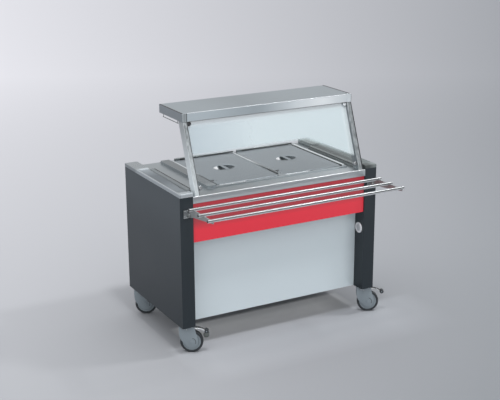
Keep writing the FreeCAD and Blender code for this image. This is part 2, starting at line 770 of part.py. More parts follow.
piece(group("pilot_set", *[pilot_lamp(side, x) for side, x in KNOBS.items()]), "pilot_lamps")
gland_body = rod("gland_body", "gland_radius", "gland_radius", "y", "gland_x", "control_rear",
                 "gland_height")
gland_neck = rod("gland_neck", "gland_neck_radius - running_clearance", "2 * gland_radius", "y",
                 "gland_x",
                 "control_rear - gland_radius", "gland_height")
gland_void = rod("gland_void", "gland_bore", "4 * gland_radius", "y", "gland_x",
                 "control_rear - 2 * gland_radius", "gland_height")
piece(cut("gland", fuse("gland_solid", gland_body, gland_neck), gland_void), "cable_gland")


# Drain: a leg under each bath, a cross pipe and a valve with a quarter-turn lever.
def drain_tree(name, radius, past):
    legs = [rod(name + "_leg_" + side, radius, "well_bottom - drain_height + %s" % past, "z", centre,
                "drain_y", "drain_height")
            for side, centre in BAYS.items()]
    cross = rod(name + "_cross", radius, "bay_pitch", "x", "bay_left", "drain_y", "drain_height")
    outlet = rod(name + "_outlet", radius, "valve_front - drain_y + %s" % past, "y", "bay_offset_x",
                 "drain_y", "drain_height")
    return fuse(name, *legs, cross, outlet)


def elbow(name, centre):
    item = doc.addObject("Part::Sphere", name)
    bind(item, "Radius", "drain_radius + elbow_wall")
    return put(item, centre, "drain_y", "drain_height")


elbows = [elbow("drain_elbow_" + side, centre) for side, centre in BAYS.items()]
outer_tree = fuse("drain_outer", drain_tree("drain_pipe", "drain_radius", "0"), *elbows)
piece(cut("drain", outer_tree, drain_tree("drain_bore", "drain_radius - drain_wall", "1")), "drain_pipes")
valve_block = block("valve_block", ("bay_offset_x - valve_width / 2", "bay_offset_x + valve_width / 2"),
                    ("valve_front", "valve_front + valve_length"),
                    ("drain_height - valve_width / 2", "drain_height + valve_width / 2"))
spout = rod("valve_spout", "drain_radius", "valve_width", "z", "bay_offset_x",
            "valve_front + valve_length / 2",
            "drain_height - valve_width / 2 - valve_width")
PLACES["stem_foot"] = "valve_front + valve_length"
stem = rod("valve_stem", "stem_radius", "stem_length", "y", "bay_offset_x", "stem_foot", "drain_height")
bore_in = rod("valve_inlet", "drain_radius - drain_wall", "valve_length / 2", "y", "bay_offset_x",
              "valve_front", "drain_height")
bore_out = rod("valve_outlet", "drain_radius - drain_wall", "1.5 * valve_width", "z", "bay_offset_x",
               "valve_front + valve_length / 2", "drain_height - 1.5 * valve_width")
piece(cut("valve", fuse("valve_solid", valve_block, spout, stem), bore_in, bore_out), "drain_valve")
lever_hub = rod("lever_hub", "lever_width / 2", "stem_length", "y", "bay_offset_x",
                "stem_foot + turning_gap", "drain_height")
lever_blade = block("lever_blade", ("bay_offset_x", "bay_offset_x + lever_length"),
                    ("stem_foot + turning_gap + stem_length - lever_thickness",
                     "stem_foot + turning_gap + stem_length"),
                    ("drain_height - lever_width / 2", "drain_height + lever_width / 2"))
lever_bore = rod("lever_bore", "stem_radius + running_clearance", "stem_length + turning_gap", "y",
                 "bay_offset_x", "stem_foot", "drain_height")
piece(cut("lever", fuse("lever_solid", lever_hub, lever_blade), lever_bore), "drain_lever")

# Parking cup for the mains plug, set into the right tower's inner face.
cup_flange = rod("cup_flange", "cup_radius", "cup_proud", "x", "inner_face - cup_proud",
                 "cup_from_front - half_depth", "cup_height")
cup_barrel = rod("cup_barrel", "cup_bore + cup_base - running_clearance", "cup_depth", "x",
                 "inner_face - cup_proud",
                 "cup_from_front - half_depth", "cup_height")
cup_void = rod("cup_void", "cup_bore", "cup_depth", "x", "inner_face - cup_proud - cup_base",
               "cup_from_front - half_depth", "cup_height")
piece(cut("cup", fuse("cup_solid", cup_flange, cup_barrel), cup_void), "plug_park_cup")


# Guard: two leaning posts carry the shelf, and the glass hangs between them in four clamps.
def leaning(name, start, span, low, high, length, x):
    """A slab that leans with the posts, between two heights."""
    def at(height):
        return "post_foot + (%s) + post_lean * ((%s) - worktop_height)" % (start, height)
    return profile(name, "YZ_Plane", [(at(low), low), (at(low) + " + " + span, low),
                                      (at(high) + " + " + span, high), (at(high), high)],
                   length, x)


def post(side, x):
    skin = leaning("post_%s_skin" % side, "0", "post_span", "worktop_height", "shelf_under", "post_width",
                   x)
    core = leaning("post_%s_core" % side, "post_wall", "post_span - 2 * post_wall",
                   "worktop_height - post_wall",
                   "shelf_under + post_wall", "post_width - 2 * post_wall", x + " + post_wall")
    return cut("post_" + side, skin, core)


POSTS = {"left": "-post_outer", "right": "post_inner"}
piece(group("post_pair", *[post(side, x) for side, x in POSTS.items()]), "guard_posts")
tray = block("shelf_tray", ("-shelf_length / 2", "shelf_length / 2"),
             ("-shelf_front", "shelf_depth - shelf_front"),
             ("shelf_bottom", "shelf_top"))
tray_void = block("shelf_void", ("sheet_metal - shelf_length / 2", "shelf_length / 2 - sheet_metal"),
                  ("shelf_lip", "shelf_depth - shelf_front - sheet_metal"),
                  ("shelf_bottom - sheet_metal", "shelf_under"))
piece(cut("shelf", tray, tray_void), "guard_shelf")


def pane(name):
    return leaning(name, "glass_setback", "glass_span", "glass_bottom", "glass_top", "2 * glass_half",
                   "-glass_half")


piece(pane("glass"), "guard_glass")


def clamp(name, side, height):
    """A round jaw on the post's inner face that grips the pane's edge from both sides."""
    middle = "post_foot + glass_setback + glass_span / 2 + post_lean * ((%s) - worktop_height)" % height
    sign = "-" if side == "left" else ""
    jaw = rod(name + "_jaw", "clamp_radius", "clamp_length", "y", sign + "(post_inner - clamp_radius)",
              middle + " - clamp_length / 2", height)
    near, far = "(post_inner - clamp_radius)", "post_inner"
    xs = ("-" + far, "-" + near) if side == "left" else (near, far)
    tab = block(name + "_tab", xs, (middle + " - clamp_length / 2", middle + " + clamp_length / 2"),
                ("%s - clamp_radius / 2" % height, "%s + clamp_radius / 2" % height))
    return cut(name, fuse(name + "_solid", jaw, tab), pane(name + "_slot"))


CLAMP_HEIGHTS = {"low": "glass_bottom + clamp_rise", "high": "shelf_bottom - clamp_drop"}
clamps = [clamp("clamp_%s_%s" % (side, level), side, height)
          for side in POSTS for level, height in CLAMP_HEIGHTS.items()]
piece(group("clamp_set", *clamps), "glass_clamps")

# Lamp housing inside the shelf, open below, with its heating lamp.
lamp_box = block("lamp_box", ("-lamp_box_length / 2", "lamp_box_length / 2"),
                 ("-lamp_box_front", "lamp_box_depth - lamp_box_front"),
                 ("lamp_box_bottom", "shelf_under"))
lamp_void = block("lamp_void", ("lamp_box_wall - lamp_box_length / 2",
                                "lamp_box_length / 2 - lamp_box_wall"),
                  ("lamp_box_wall - lamp_box_front", "lamp_box_depth - lamp_box_front - lamp_box_wall"),
                  ("lamp_box_bottom - lamp_box_wall", "lamp_box_bottom + lamp_box_recess"))
piece(cut("lamp_case", lamp_box, lamp_void), "lamp_housing")
piece(rod("lamp", "lamp_tube_radius", "lamp_box_length - 2 * lamp_box_wall", "x",
          "lamp_box_wall - lamp_box_length / 2",
          "lamp_box_depth / 2 - lamp_box_front", "lamp_box_bottom + lamp_tube_drop"), "lamp_tube")


# Tray slide: three tubes on two arms that fold down about pins on the towers' fronts.
def bracket(side, sign):
    def span(near, far):
        return ("-(%s)" % far, "-(%s)" % near) if sign < 0 else (near, far)
    middle = "(arm_inner + arm_outer) / 2"
    plate = block("bracket_%s_plate" % side, span(middle + " - bracket_width / 2",
                                                  middle + " + bracket_width / 2"),
                  ("-half_depth - bracket_plate", "-half_depth"),
                  ("hinge_height - bracket_height / 2", "hinge_height + bracket_height / 2"))
    ears = []
    for place, near in (("inner", "arm_inner - ear_gap - ear_thickness"),
                        ("outer", "arm_outer + ear_gap")):
        pair = span(near, near + " + ear_thickness")
        name = "bracket_%s_%s" % (side, place)
        web = block(name + "_web", pair, ("hinge_y", "-half_depth"),
                    ("hinge_height - hinge_eye", "hinge_height + hinge_eye"))
        eye = rod(name + "_eye", "hinge_eye", "ear_thickness", "x", pair[0], "hinge_y", "hinge_height")
        ears += [web, eye]
    pin = rod("bracket_%s_pin" % side, "hinge_pin_radius",
              "arm_thickness + 2 * ear_thickness + 2 * ear_gap", "x",
              span("arm_inner - ear_gap - ear_thickness", "arm_outer + ear_gap + ear_thickness")[0],
              "hinge_y", "hinge_height")
    return fuse("bracket_" + side, plate, *ears, pin)


SIDES = {"left": -1, "right": 1}
piece(group("bracket_pair", *[bracket(side, sign) for side, sign in SIDES.items()]), "tray_brackets")
RAILS = ["-(rail_first + %d * rail_pitch)" % i for i in range(3)]


def rail(i, y):
    skin = rod("rail_%d_skin" % i, "rail_radius", "rail_length", "x", "-rail_shift - rail_length / 2", y,
               "rail_height")
    bore = rod("rail_%d_bore" % i, "rail_radius - rail_wall", "rail_length - 4 * rail_wall", "x",
               "2 * rail_wall - rail_shift - rail_length / 2", y, "rail_height")
    return cut("rail_%d" % i, skin, bore)


piece(group("rail_set", *[rail(i, y) for i, y in enumerate(RAILS)]), "tray_rails")


def arm(side, sign):
    x = "-arm_outer" if sign < 0 else "arm_inner"
    seat = "rail_height - rail_radius + saddle_depth"
    tip = "-(rail_last + arm_overhang)"
    blade = profile("arm_%s_blade" % side, "YZ_Plane",
                    [("hinge_y", "hinge_height - hinge_eye"), ("hinge_y", "hinge_height + hinge_eye"),
                     ("-(rail_first - rail_radius)", seat),
                     (tip, seat), (tip, seat + " - arm_tip_height"),
                     ("-rail_first", seat + " - arm_root_height")], "arm_thickness", x)
    eye = rod("arm_%s_eye" % side, "hinge_eye", "arm_thickness", "x", x, "hinge_y", "hinge_height")
    bore = rod("arm_%s_bore" % side, "hinge_pin_radius + running_clearance", "3 * arm_thickness", "x",
               x + " - arm_thickness",
               "hinge_y", "hinge_height")
    saddles = [rod("arm_%s_saddle_%d" % (side, i), "rail_radius + running_clearance", "3 * arm_thickness",
                   "x",
                   x + " - arm_thickness", y, "rail_height") for i, y in enumerate(RAILS)]
    return cut("arm_" + side, fuse("arm_%s_solid" % side, blade, eye), bore, *saddles)


piece(group("arm_pair", *[arm(side, sign) for side, sign in SIDES.items()]), "tray_arms")


# Casters: a plate with its kingpin stays on the tower, the fork swivels under it and carries the wheel.
CORNERS = {"front_left": ("-caster_x", "-caster_y"), "front_right": ("caster_x", "-caster_y"),
           "rear_left": ("-caster_x", "caster_y"), "rear_right": ("caster_x", "caster_y")}


def swivelled(item, x, y):
    """Stand an object made about the swivel axis at its corner, with the wheel trailing as it rests."""
    heading = FreeCAD.Rotation(FreeCAD.Vector(0, 0, 1), float(sheet.get("caster_heading")))
    item.Placement = FreeCAD.Placement(FreeCAD.Vector(), heading)
    return put(item, x, y, 0)


def caster_plate(corner, x, y):
    plate = block("plate_%s_flat" % corner, (x + " - plate_width / 2", x + " + plate_width / 2"),
                  (y + " - plate_length / 2", y + " + plate_length / 2"), ("plate_under", "tower_bottom"))
    pin = rod("plate_%s_pin" % corner, "kingpin_radius", "plate_under - crown_under + race_gap", "z", x,
              y, "crown_under - race_gap")
    head = rod("plate_%s_head" % corner, "kingpin_head", "kingpin_head_height", "z", x, y,
               "crown_under - race_gap - kingpin_head_height")
    return fuse("plate_" + corner, plate, pin, head)


def plate_bolts(corner, x, y):
    return [rod("bolt_%s_%d%d" % (corner, i, j), "bolt_head_radius", "bolt_head_height", "z",
                "%s + (%d - 0.5) * bolt_spacing_x" % (x, i), "%s + (%d - 0.5) * bolt_spacing_y" % (y, j),
                "plate_under - bolt_head_height") for i in range(2) for j in range(2)]


def fork(corner, x, y):
    crown = rod("fork_%s_crown" % corner, "crown_radius", "crown_height", "z", 0, 0, "crown_under")
    parts = [crown]
    for hand, near in (("a", "cheek_inner"), ("b", "-cheek_outer")):
        cheek = profile("fork_%s_cheek_%s" % (corner, hand), "XZ_Plane",
                        [("-cheek_front", "crown_under"), ("cheek_front", "crown_under"),
                         ("caster_trail + cheek_boss * cheek_lean", "wheel_radius + cheek_boss / 2"),
                         ("caster_trail", "wheel_radius - cheek_boss"),
                         ("caster_trail - cheek_boss * cheek_lean", "wheel_radius - cheek_boss / 2")],
                        "cheek_thickness", 0, near + " + cheek_thickness", 0)
        boss = rod("fork_%s_boss_%s" % (corner, hand), "cheek_boss", "cheek_thickness", "y",
                   "caster_trail", near, "wheel_radius")
        parts += [cheek, boss]
    holes = [rod("fork_%s_king" % corner, "kingpin_radius + running_clearance", "3 * crown_height", "z",
                 0, 0, "crown_under - crown_height"),
             rod("fork_%s_axle" % corner, "axle_radius + running_clearance",
                 "2 * (cheek_outer + axle_spare)", "y", "caster_trail",
                 "-cheek_outer - axle_spare", "wheel_radius")]
    if corner.startswith("front"):
        holes.append(rod("fork_%s_pedal" % corner, "pedal_pin_radius + running_clearance",
                         "2 * (cheek_outer + axle_spare)",
                         "y", "pedal_pivot_x", "-cheek_outer - axle_spare", "pedal_pivot_z"))
    whole = cut("fork_" + corner, fuse("fork_%s_solid" % corner, *parts), *holes)
    piece(swivelled(whole, x, y), "caster_fork_" + corner)


def wheel(corner, x, y):
    shaft = rod("axle_%s_shaft" % corner, "axle_radius", "2 * cheek_outer", "y", "caster_trail",
                "-cheek_outer", "wheel_radius")
    heads = [rod("axle_%s_head_%d" % (corner, i), "axle_head", "cheek_thickness", "y", "caster_trail",
                 start, "wheel_radius")
             for i, start in enumerate(("-cheek_outer - cheek_thickness", "cheek_outer"))]
    piece(swivelled(fuse("axle_" + corner, shaft, *heads), x, y), "caster_axle_" + corner)
    disc = rod("hub_%s_disc" % corner, "wheel_radius - tyre_thickness", "wheel_width - 2 * hub_recess",
               "y",
               "caster_trail", "hub_recess - wheel_width / 2", "wheel_radius")
    boss = rod("hub_%s_boss" % corner, "hub_boss_radius", "2 * (cheek_inner - hub_end_gap)", "y",
               "caster_trail",
               "hub_end_gap - cheek_inner", "wheel_radius")
    bore = rod("hub_%s_bore" % corner, "axle_radius + running_clearance", "2 * wheel_width", "y",
               "caster_trail", "-wheel_width", "wheel_radius")
    piece(swivelled(cut("hub_" + corner, fuse("hub_%s_solid" % corner, disc, boss), bore), x, y),
          "caster_hub_" + corner)
    tread = rod("tyre_%s_tread" % corner, "wheel_radius", "wheel_width", "y", "caster_trail",
                "-wheel_width / 2", "wheel_radius")
    eye = rod("tyre_%s_eye" % corner, "wheel_radius - tyre_thickness", "2 * wheel_width", "y",
              "caster_trail", "-wheel_width", "wheel_radius")
    piece(swivelled(cut("tyre_" + corner, tread, eye), x, y), "caster_tyre_" + corner)


def pedal(corner, x, y):
    pin = rod("pedal_%s_pin" % corner, "pedal_pin_radius", "2 * cheek_outer", "y", "pedal_pivot_x",
              "-cheek_outer", "pedal_pivot_z")
    half = "pedal_arm_thickness / 2"
    blade = profile("pedal_%s_arm" % corner, "XZ_Plane",
                    [("pedal_pivot_x", "pedal_pivot_z - " + half),
                     ("pedal_pivot_x", "pedal_pivot_z + " + half),
                     ("pedal_reach", "pedal_pivot_z - pedal_fall + " + half),
                     ("pedal_reach", "pedal_pivot_z - pedal_fall - " + half)],
                    "pedal_arm_width", 0, "pedal_arm_width / 2", 0)
    pad = block("pedal_%s_pad" % corner, ("pedal_reach", "pedal_reach + pedal_pad_length"),
                ("-pedal_pad_width / 2", "pedal_pad_width / 2"),
                ("pedal_pivot_z - pedal_fall - pedal_pad_thickness / 2",
                 "pedal_pivot_z - pedal_fall + pedal_pad_thickness / 2"))
    piece(swivelled(fuse("pedal_" + corner, pin, blade, pad), x, y), "brake_pedal_" + corner)


plates = [caster_plate(corner, x, y) for corner, (x, y) in CORNERS.items()]
piece(group("plate_set", *plates), "caster_plates")
bolts = [bolt for corner, (x, y) in CORNERS.items() for bolt in plate_bolts(corner, x, y)]
piece(group("bolt_set", *bolts), "caster_bolts")
for corner, (x, y) in CORNERS.items():
    fork(corner, x, y)
    wheel(corner, x, y)
    if corner.startswith("front"):
        pedal(corner, x, y)

doc.removeObject(probe.Name)
doc.recompute()
broken = [item.Name for item in doc.Objects if "Invalid" in item.State or "Error" in item.State]
if broken:
    raise SystemExit("failed objects: " + ", ".join(broken))
for item in pieces:
    if item.Shape.isNull() or not item.Shape.isValid() or not item.Shape.Solids:
        raise SystemExit("bad shape: " + item.Label)

os.makedirs("parts", exist_ok=True)
for item in pieces:
    item.Shape.exportStep(os.path.join("parts", item.Label + ".step"))
print(len(pieces), "pieces written")
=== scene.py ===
# %% [markdown]
# # A heated food trolley, dressed
# The trolley's solids come ready made, at real size and in metres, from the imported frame. This lesson
# gives each of them its finish, replaces the pressed, turned and moulded pieces by smooth surfaces, and
# sets up a camera and a plain studio. Nothing moves a solid: a new piece goes where its solid is.

# %% Load the frame
import json
import math
import bpy
import numpy as np
from mathutils import Matrix, Vector


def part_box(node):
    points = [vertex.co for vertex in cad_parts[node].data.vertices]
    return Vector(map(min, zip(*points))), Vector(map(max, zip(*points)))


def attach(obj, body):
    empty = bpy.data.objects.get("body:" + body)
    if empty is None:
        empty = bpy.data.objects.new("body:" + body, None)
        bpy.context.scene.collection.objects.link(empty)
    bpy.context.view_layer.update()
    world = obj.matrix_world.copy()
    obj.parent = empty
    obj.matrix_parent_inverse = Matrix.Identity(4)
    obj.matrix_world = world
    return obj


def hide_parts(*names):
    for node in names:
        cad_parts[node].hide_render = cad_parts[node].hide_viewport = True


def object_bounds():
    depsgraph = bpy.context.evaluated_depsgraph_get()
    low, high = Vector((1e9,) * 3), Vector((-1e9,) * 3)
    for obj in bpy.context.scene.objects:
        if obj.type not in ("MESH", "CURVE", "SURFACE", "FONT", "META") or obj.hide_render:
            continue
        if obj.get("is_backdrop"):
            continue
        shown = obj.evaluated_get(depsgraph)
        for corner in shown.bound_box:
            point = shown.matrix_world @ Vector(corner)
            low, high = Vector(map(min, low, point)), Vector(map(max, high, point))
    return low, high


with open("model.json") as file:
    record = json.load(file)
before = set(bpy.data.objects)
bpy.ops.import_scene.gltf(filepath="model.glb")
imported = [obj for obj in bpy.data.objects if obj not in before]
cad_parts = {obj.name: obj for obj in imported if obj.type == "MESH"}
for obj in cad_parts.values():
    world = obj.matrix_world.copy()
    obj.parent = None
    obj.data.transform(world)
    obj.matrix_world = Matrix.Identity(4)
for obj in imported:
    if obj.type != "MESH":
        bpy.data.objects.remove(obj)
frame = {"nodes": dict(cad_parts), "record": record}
cad_low, cad_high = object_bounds()
scene = bpy.context.scene
scene.view_settings.view_transform = "Standard"
print("solids:", len(frame["nodes"]), "box:", [round(c, 3) for c in cad_high - cad_low])

# %% [markdown]
# ## Places
# Finishes and new pieces have to sit where the solids are, so the main planes of the trolley are read
# from the solids' boxes. Copied numbers would also work, but only until someone changes a size.

# %% Places read from the solids
X, Y, Z = range(3)


def ends_of(node, axis):
    """Lowest and highest place of a solid along one axis, to a tenth of a millimetre."""
    return [round(float(corner[axis]), 4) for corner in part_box(node)]


def middle_of(node, axis):
    """The place half way along a solid."""
    return round(sum(ends_of(node, axis)) / 2, 5)


FRONT, REAR = ends_of("worktop", Y)
BAY_HALF, DECK_TOP = ends_of("worktop", X)[1], ends_of("worktop", Z)[1]
DECK_LEFT, RAIL_Z = ends_of("deck_frame", X)[0], middle_of("tray_rails", Z)
TOWER_OUTER, TOWER_TOP = ends_of("side_tower_right", X)[1], ends_of("side_tower_right", Z)[1]
CAP_TOP, LID_TOP = ends_of("end_cap_right", Z)[1], ends_of("lid_left", Z)[1]
POST_OUTER, SHELF_END = ends_of("guard_posts", X)[1], ends_of("guard_shelf", X)[1]
SHELF_FRONT, SHELF_REAR = ends_of("guard_shelf", Y)
SHELF_FOOT, SHELF_TOP = ends_of("guard_shelf", Z)
BAYS = {side: middle_of("lid_" + side, X) for side in ("left", "right")}
SIDES = {"left": -1, "right": 1}
print("deck at", DECK_TOP, "shelf at", SHELF_TOP, "lids at", BAYS)

# %% [markdown]
# ## Camera
# The photograph was taken from the customer's side, about 29 degrees round to the left and 17 degrees
# above level. A solved pinhole camera is written here as those angles, the distance to the point it
# turns about and the lens. Aiming by hand would also work, but then every edge would be a little off.

# %% Camera at the photograph's angle
CAMERA_AZIMUTH = math.radians(-28.92)
CAMERA_ELEVATION = math.radians(17.08)
CAMERA_ROLL = math.radians(-0.27)
CAMERA_PIVOT = Vector((0, 0, 0.6))
CAMERA_OFFSET = Vector((-0.0028, 0.0805, 6.1015))
FOCAL_PIXELS, FRAME_PIXELS, SENSOR_MM = 1068.6, 500, 36


def camera_axes(azimuth, elevation, roll):
    """Right, up and back directions of a camera turned round and raised, then rolled about its axis."""
    level = math.cos(elevation)
    back = Vector((math.sin(azimuth) * level, -math.cos(azimuth) * level, math.sin(elevation)))
    right = Vector((math.cos(azimuth), math.sin(azimuth), 0))
    up = back.cross(right)
    turned_right = right * math.cos(roll) + up * math.sin(roll)
    turned_up = up * math.cos(roll) - right * math.sin(roll)
    return turned_right, turned_up, back


right, up, back = camera_axes(CAMERA_AZIMUTH, CAMERA_ELEVATION, CAMERA_ROLL)
lens = bpy.data.cameras.new("camera")
lens.sensor_width = SENSOR_MM
lens.lens = SENSOR_MM * FOCAL_PIXELS / FRAME_PIXELS
camera = bpy.data.objects.new("camera", lens)
scene.collection.objects.link(camera)
stand = CAMERA_PIVOT + right * CAMERA_OFFSET.x + up * CAMERA_OFFSET.y + back * CAMERA_OFFSET.z
camera.matrix_world = Matrix.Translation(stand) @ Matrix((right, up, back)).transposed().to_4x4()
scene.camera = camera
print("camera at", [round(c, 3) for c in stand], "lens", round(lens.lens, 1), "mm")

# %% [markdown]
# ## Shader maths in Python
# A finish is easier to read as a formula than as a list of links. `Flow` wraps a socket so that the
# usual operators add Math nodes, `Graph` can add any node by its type, and `Finish` is one material.

# %% Flow


class Flow:
    """A node's output that can stand in a Python expression."""

    def __init__(self, graph, socket):
        self.graph, self.socket = graph, socket

    def __add__(self, other):
        return self.graph.maths("ADD", self, other)

    def __radd__(self, other):
        return self.graph.maths("ADD", other, self)

    def __sub__(self, other):
        return self.graph.maths("SUBTRACT", self, other)

    def __rsub__(self, other):
        return self.graph.maths("SUBTRACT", other, self)

    def __mul__(self, other):
        return self.graph.maths("MULTIPLY", self, other)

    def __rmul__(self, other):
        return self.graph.maths("MULTIPLY", other, self)

    def __truediv__(self, other):
        return self.graph.maths("DIVIDE", self, other)

    def __rtruediv__(self, other):
        return self.graph.maths("DIVIDE", other, self)


print("a flow takes + - * / with a flow or a number on either side")

# %% Graph


class Graph:
    """Adds nodes to one node tree and returns their outputs as flows."""

    def __init__(self, tree):
        self.tree = tree

    def feed(self, socket, value):
        """Link a flow to a socket, or set the socket to a fixed value."""
        if isinstance(value, Flow):
            self.tree.links.new(value.socket, socket)
        elif socket.type == "RGBA":
            socket.default_value = (*value, 1)
        else:
            socket.default_value = value

    def node(self, kind, settings, sockets, out=0):
        """Add a node: its settings first, then its sockets by number or name; returns one output."""
        item = self.tree.nodes.new(kind)
        for key, value in settings.items():
            setattr(item, key, value)
        for key, value in sockets.items():
            self.feed(item.inputs[key], value)
        return Flow(self, item.outputs[out])

    def maths(self, operation, *values):
        """One Math node on flows or numbers."""
        return self.node("ShaderNodeMath", {"operation": operation}, dict(enumerate(values)))

    def split(self, vector, axis):
        """One coordinate of a vector."""
        return self.node("ShaderNodeSeparateXYZ", {}, {0: vector}, axis)

    def at(self, axis):
        """Where a point lies along one axis of the trolley, in metres."""
        return self.split(self.node("ShaderNodeTexCoord", {}, {}, "Object"), axis)

    def place(self, scale=(1, 1, 1)):
        """Object coordinates, scaled; a small scale stretches a pattern along an axis."""
        here = self.node("ShaderNodeTexCoord", {}, {}, "Object")
        return self.node("ShaderNodeMapping", {}, {"Vector": here, "Scale": scale})

    def noise(self, where, scale, detail=2, rough=0.5):
        """Cloudy noise from 0 to 1; detail is its number of finer layers, rough their weight."""
        sockets = {"Vector": where, "Scale": scale, "Detail": detail, "Roughness": rough}
        return self.node("ShaderNodeTexNoise", {}, sockets)

    def span(self, value, low, high, to_low=0, to_high=1):
        """Stretch one range of a value to another, clamped."""
        ranges = dict(enumerate((value, low, high, to_low, to_high)))
        return self.node("ShaderNodeMapRange", {"clamp": True}, ranges)

    def band(self, value, low_out, low_in, high_in, high_out):
        """1 where a value lies in a band, fading to 0 on both sides of it."""
        return self.span(value, low_out, low_in) * self.span(value, high_out, high_in)

    def most(self, first, second):
        """The larger of two values."""
        return self.maths("MAXIMUM", first, second)

    def tint(self, factor, first, second):
        """Mix two colours; a Mix node has its colours at sockets 6 and 7 and their mix at output 2."""
        return self.node("ShaderNodeMix", {"data_type": "RGBA"}, {0: factor, 6: first, 7: second}, 2)


print("a graph adds nodes to a material or a world")

# %% Finish


class Finish(Graph):
    """One material with a Principled shader; fixed sockets are set, varying ones are fed."""

    def __init__(self, name, **fixed):
        self.material = bpy.data.materials.new(name)
        self.material.use_nodes = True
        super().__init__(self.material.node_tree)
        self.set(**fixed)

    def set(self, **sockets):
        """Set or feed the shader's sockets by name, with underscores for spaces."""
        shader = self.tree.nodes["Principled BSDF"]
        for name, value in sockets.items():
            self.feed(shader.inputs[name.replace("_", " ")], value)

    def bump(self, height, strength, distance):
        """Tilt the surface's shading as a relief of that height would."""
        relief = {"Strength": strength, "Distance": distance, "Height": height}
        self.set(Normal=self.node("ShaderNodeBump", {}, relief))


def shade(tone, share):
    """A colour made darker or lighter by one factor, no lighter than white."""
    return tuple(min(1, c * share) for c in tone)


print("a finish sets or feeds the sockets of one Principled shader")

# %% [markdown]
# ## Studio
# The photograph has a seamless pale backdrop, lightest at the upper left. A large floor that fills the
# frame gives the same and keeps the contact shadow. The dome is bright overhead and dimmer near the
# horizon, so tubes and folded edges show a bright line and a dark one; two lamps high in front, left and
# right, leave a clear shadow only where neither reaches, which is under the trolley.

# %% Paper floor
FLOOR_HALF = 60.0
PAPER_AWAY, PAPER_START = (0.484, 0.875), 5.9
NEAR_LEFT, NEAR_RIGHT = (0.318, 0.325, 0.345), (0.178, 0.189, 0.203)
FAR_LEFT, FAR_RIGHT = (0.675, 0.667, 0.700), (0.303, 0.311, 0.334)
LIT_LEFT, LIT_RIGHT = (0.490, 0.500, 0.530), (0.275, 0.290, 0.315)
UNDER_PAINTED_LIGHT, SIDE_TONE = (0.980, 0.985, 0.990), (0.600, 0.610, 0.620)


def floor_finish():
    """Pale paper with a fine tooth; painted light makes it lighter to the left, away, before and under the
    trolley.
    """
    f = Finish("backdrop_paper", Roughness=0.9, Specular_IOR_Level=0.1)
    x, y = f.at(X), f.at(Y)
    # Painted light: the paper's tone falls off from the far left to the near right, as studio light does.
    depth = x * PAPER_AWAY[0] + y * PAPER_AWAY[1] + PAPER_START
    slant = (x * PAPER_AWAY[1] - y * PAPER_AWAY[0]) / depth
    side = f.span(slant, -0.24, 0.24)
    near, far = f.tint(side, NEAR_LEFT, NEAR_RIGHT), f.tint(side, FAR_LEFT, FAR_RIGHT)
    paper = f.tint(f.span(depth, 4.5, 13.5), near, far)
    # Painted light: a lighter zone just before the trolley lifts the soft shade that it casts there.
    before = f.band(x, -0.66, -0.48, 0.62, 1.0) * f.band(y, -0.75, -0.28, -0.255, -0.205)
    paper = f.tint(before, paper, f.tint(side, LIT_LEFT, LIT_RIGHT))
    # Painted light: the paper in the trolley's shadow under it is made near white, so the shadow renders
    # lighter.
    under = f.band(x, -0.53, -0.43, 0.38, 0.60) * f.band(y, -0.26, -0.09, -0.015, 0.015)
    paper = f.tint(under, paper, UNDER_PAINTED_LIGHT)
    beside = f.most(f.span(depth, 4.5, 3.7), f.span(slant, 0.32, 0.60))
    paper = f.tint(beside, paper, SIDE_TONE)
    f.set(Base_Color=f.tint(f.noise(f.place(), 900, 3) * 0.04, paper, (1, 1, 1)))
    return f.material


def quad_floor(half):
    """One square of paper, laid as a stage."""
    mesh = bpy.data.meshes.new("studio_floor")
    corners = [(-half, -half, 0), (half, -half, 0), (half, half, 0), (-half, half, 0)]
    mesh.from_pydata(corners, [], [(0, 1, 2, 3)])
    item = bpy.data.objects.new("studio_floor", mesh)
    scene.collection.objects.link(item)
    mesh.materials.append(floor_finish())
    item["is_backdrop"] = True


quad_floor(FLOOR_HALF)
print("floor:", 2 * FLOOR_HALF, "m wide")

# %% Dome and lamps
DOME_TONE, DOME_HORIZON, DOME_ZENITH, DOME_LEAN = (0.970, 0.985, 1.0), 0.44, 1.45, 0.25
LAMPS = {"key_right": ((2.4, -1.2, 4.6), (0, 0, 0.4), (0.5, 0.5), 70),
         "key_left": ((-0.6, -1.6, 5.2), (0, 0, 0.4), (0.5, 0.5), 75),
         "front_fill": ((0.9, -6.2, 3.6), (0, 0, 0.6), (7.0, 4.0), 45)}


def dome_world(horizon, zenith, lean):
    """A soft dome: its strength grows with height, and falls off from left to right."""
    scene.world = bpy.data.worlds.new("studio_dome")
    scene.world.use_nodes = True
    sky = Graph(scene.world.node_tree)
    way = sky.node("ShaderNodeTexCoord", {}, {}, "Generated")
    rise = sky.span(sky.split(way, Z), 0.0, 0.9, horizon, zenith)
    glow = sky.tree.nodes["Background"]
    sky.feed(glow.inputs["Color"], DOME_TONE)
    sky.feed(glow.inputs["Strength"], rise * sky.span(sky.split(way, X), -1, 1, 1 + lean, 1 - lean))


def soft_lamp(name, place, aim, size, power):
    """A rectangular lamp that faces the point it is aimed at."""
    light = bpy.data.lights.new(name, "AREA")
    light.shape, light.size, light.size_y = "RECTANGLE", *size
    light.energy = power
    item = bpy.data.objects.new(name, light)
    scene.collection.objects.link(item)
    item.location = place
    item.rotation_euler = (Vector(aim) - Vector(place)).to_track_quat("-Z", "Y").to_euler()


dome_world(DOME_HORIZON, DOME_ZENITH, DOME_LEAN)
for name, row in LAMPS.items():
    soft_lamp(name, *row)
print("lamps:", len(LAMPS))

# %% [markdown]
# ## Brushed steel
# Stainless steel is drawn through rollers or brushed, so its fine lines run one way: noise that is
# stretched along that way gives both the faint colour change and the bump. Broad clouds in the gloss
# keep a large sheet from looking printed.

# %% Brushed steel


def drawn_lines(f, along, fine=700, long=4, detail=4, rough=0.65):
    """Noise squeezed across one axis and stretched along it, as the lines that brushing leaves."""
    return f.noise(f.place([long if axis == along else fine for axis in (X, Y, Z)]), 1.0, detail, rough)


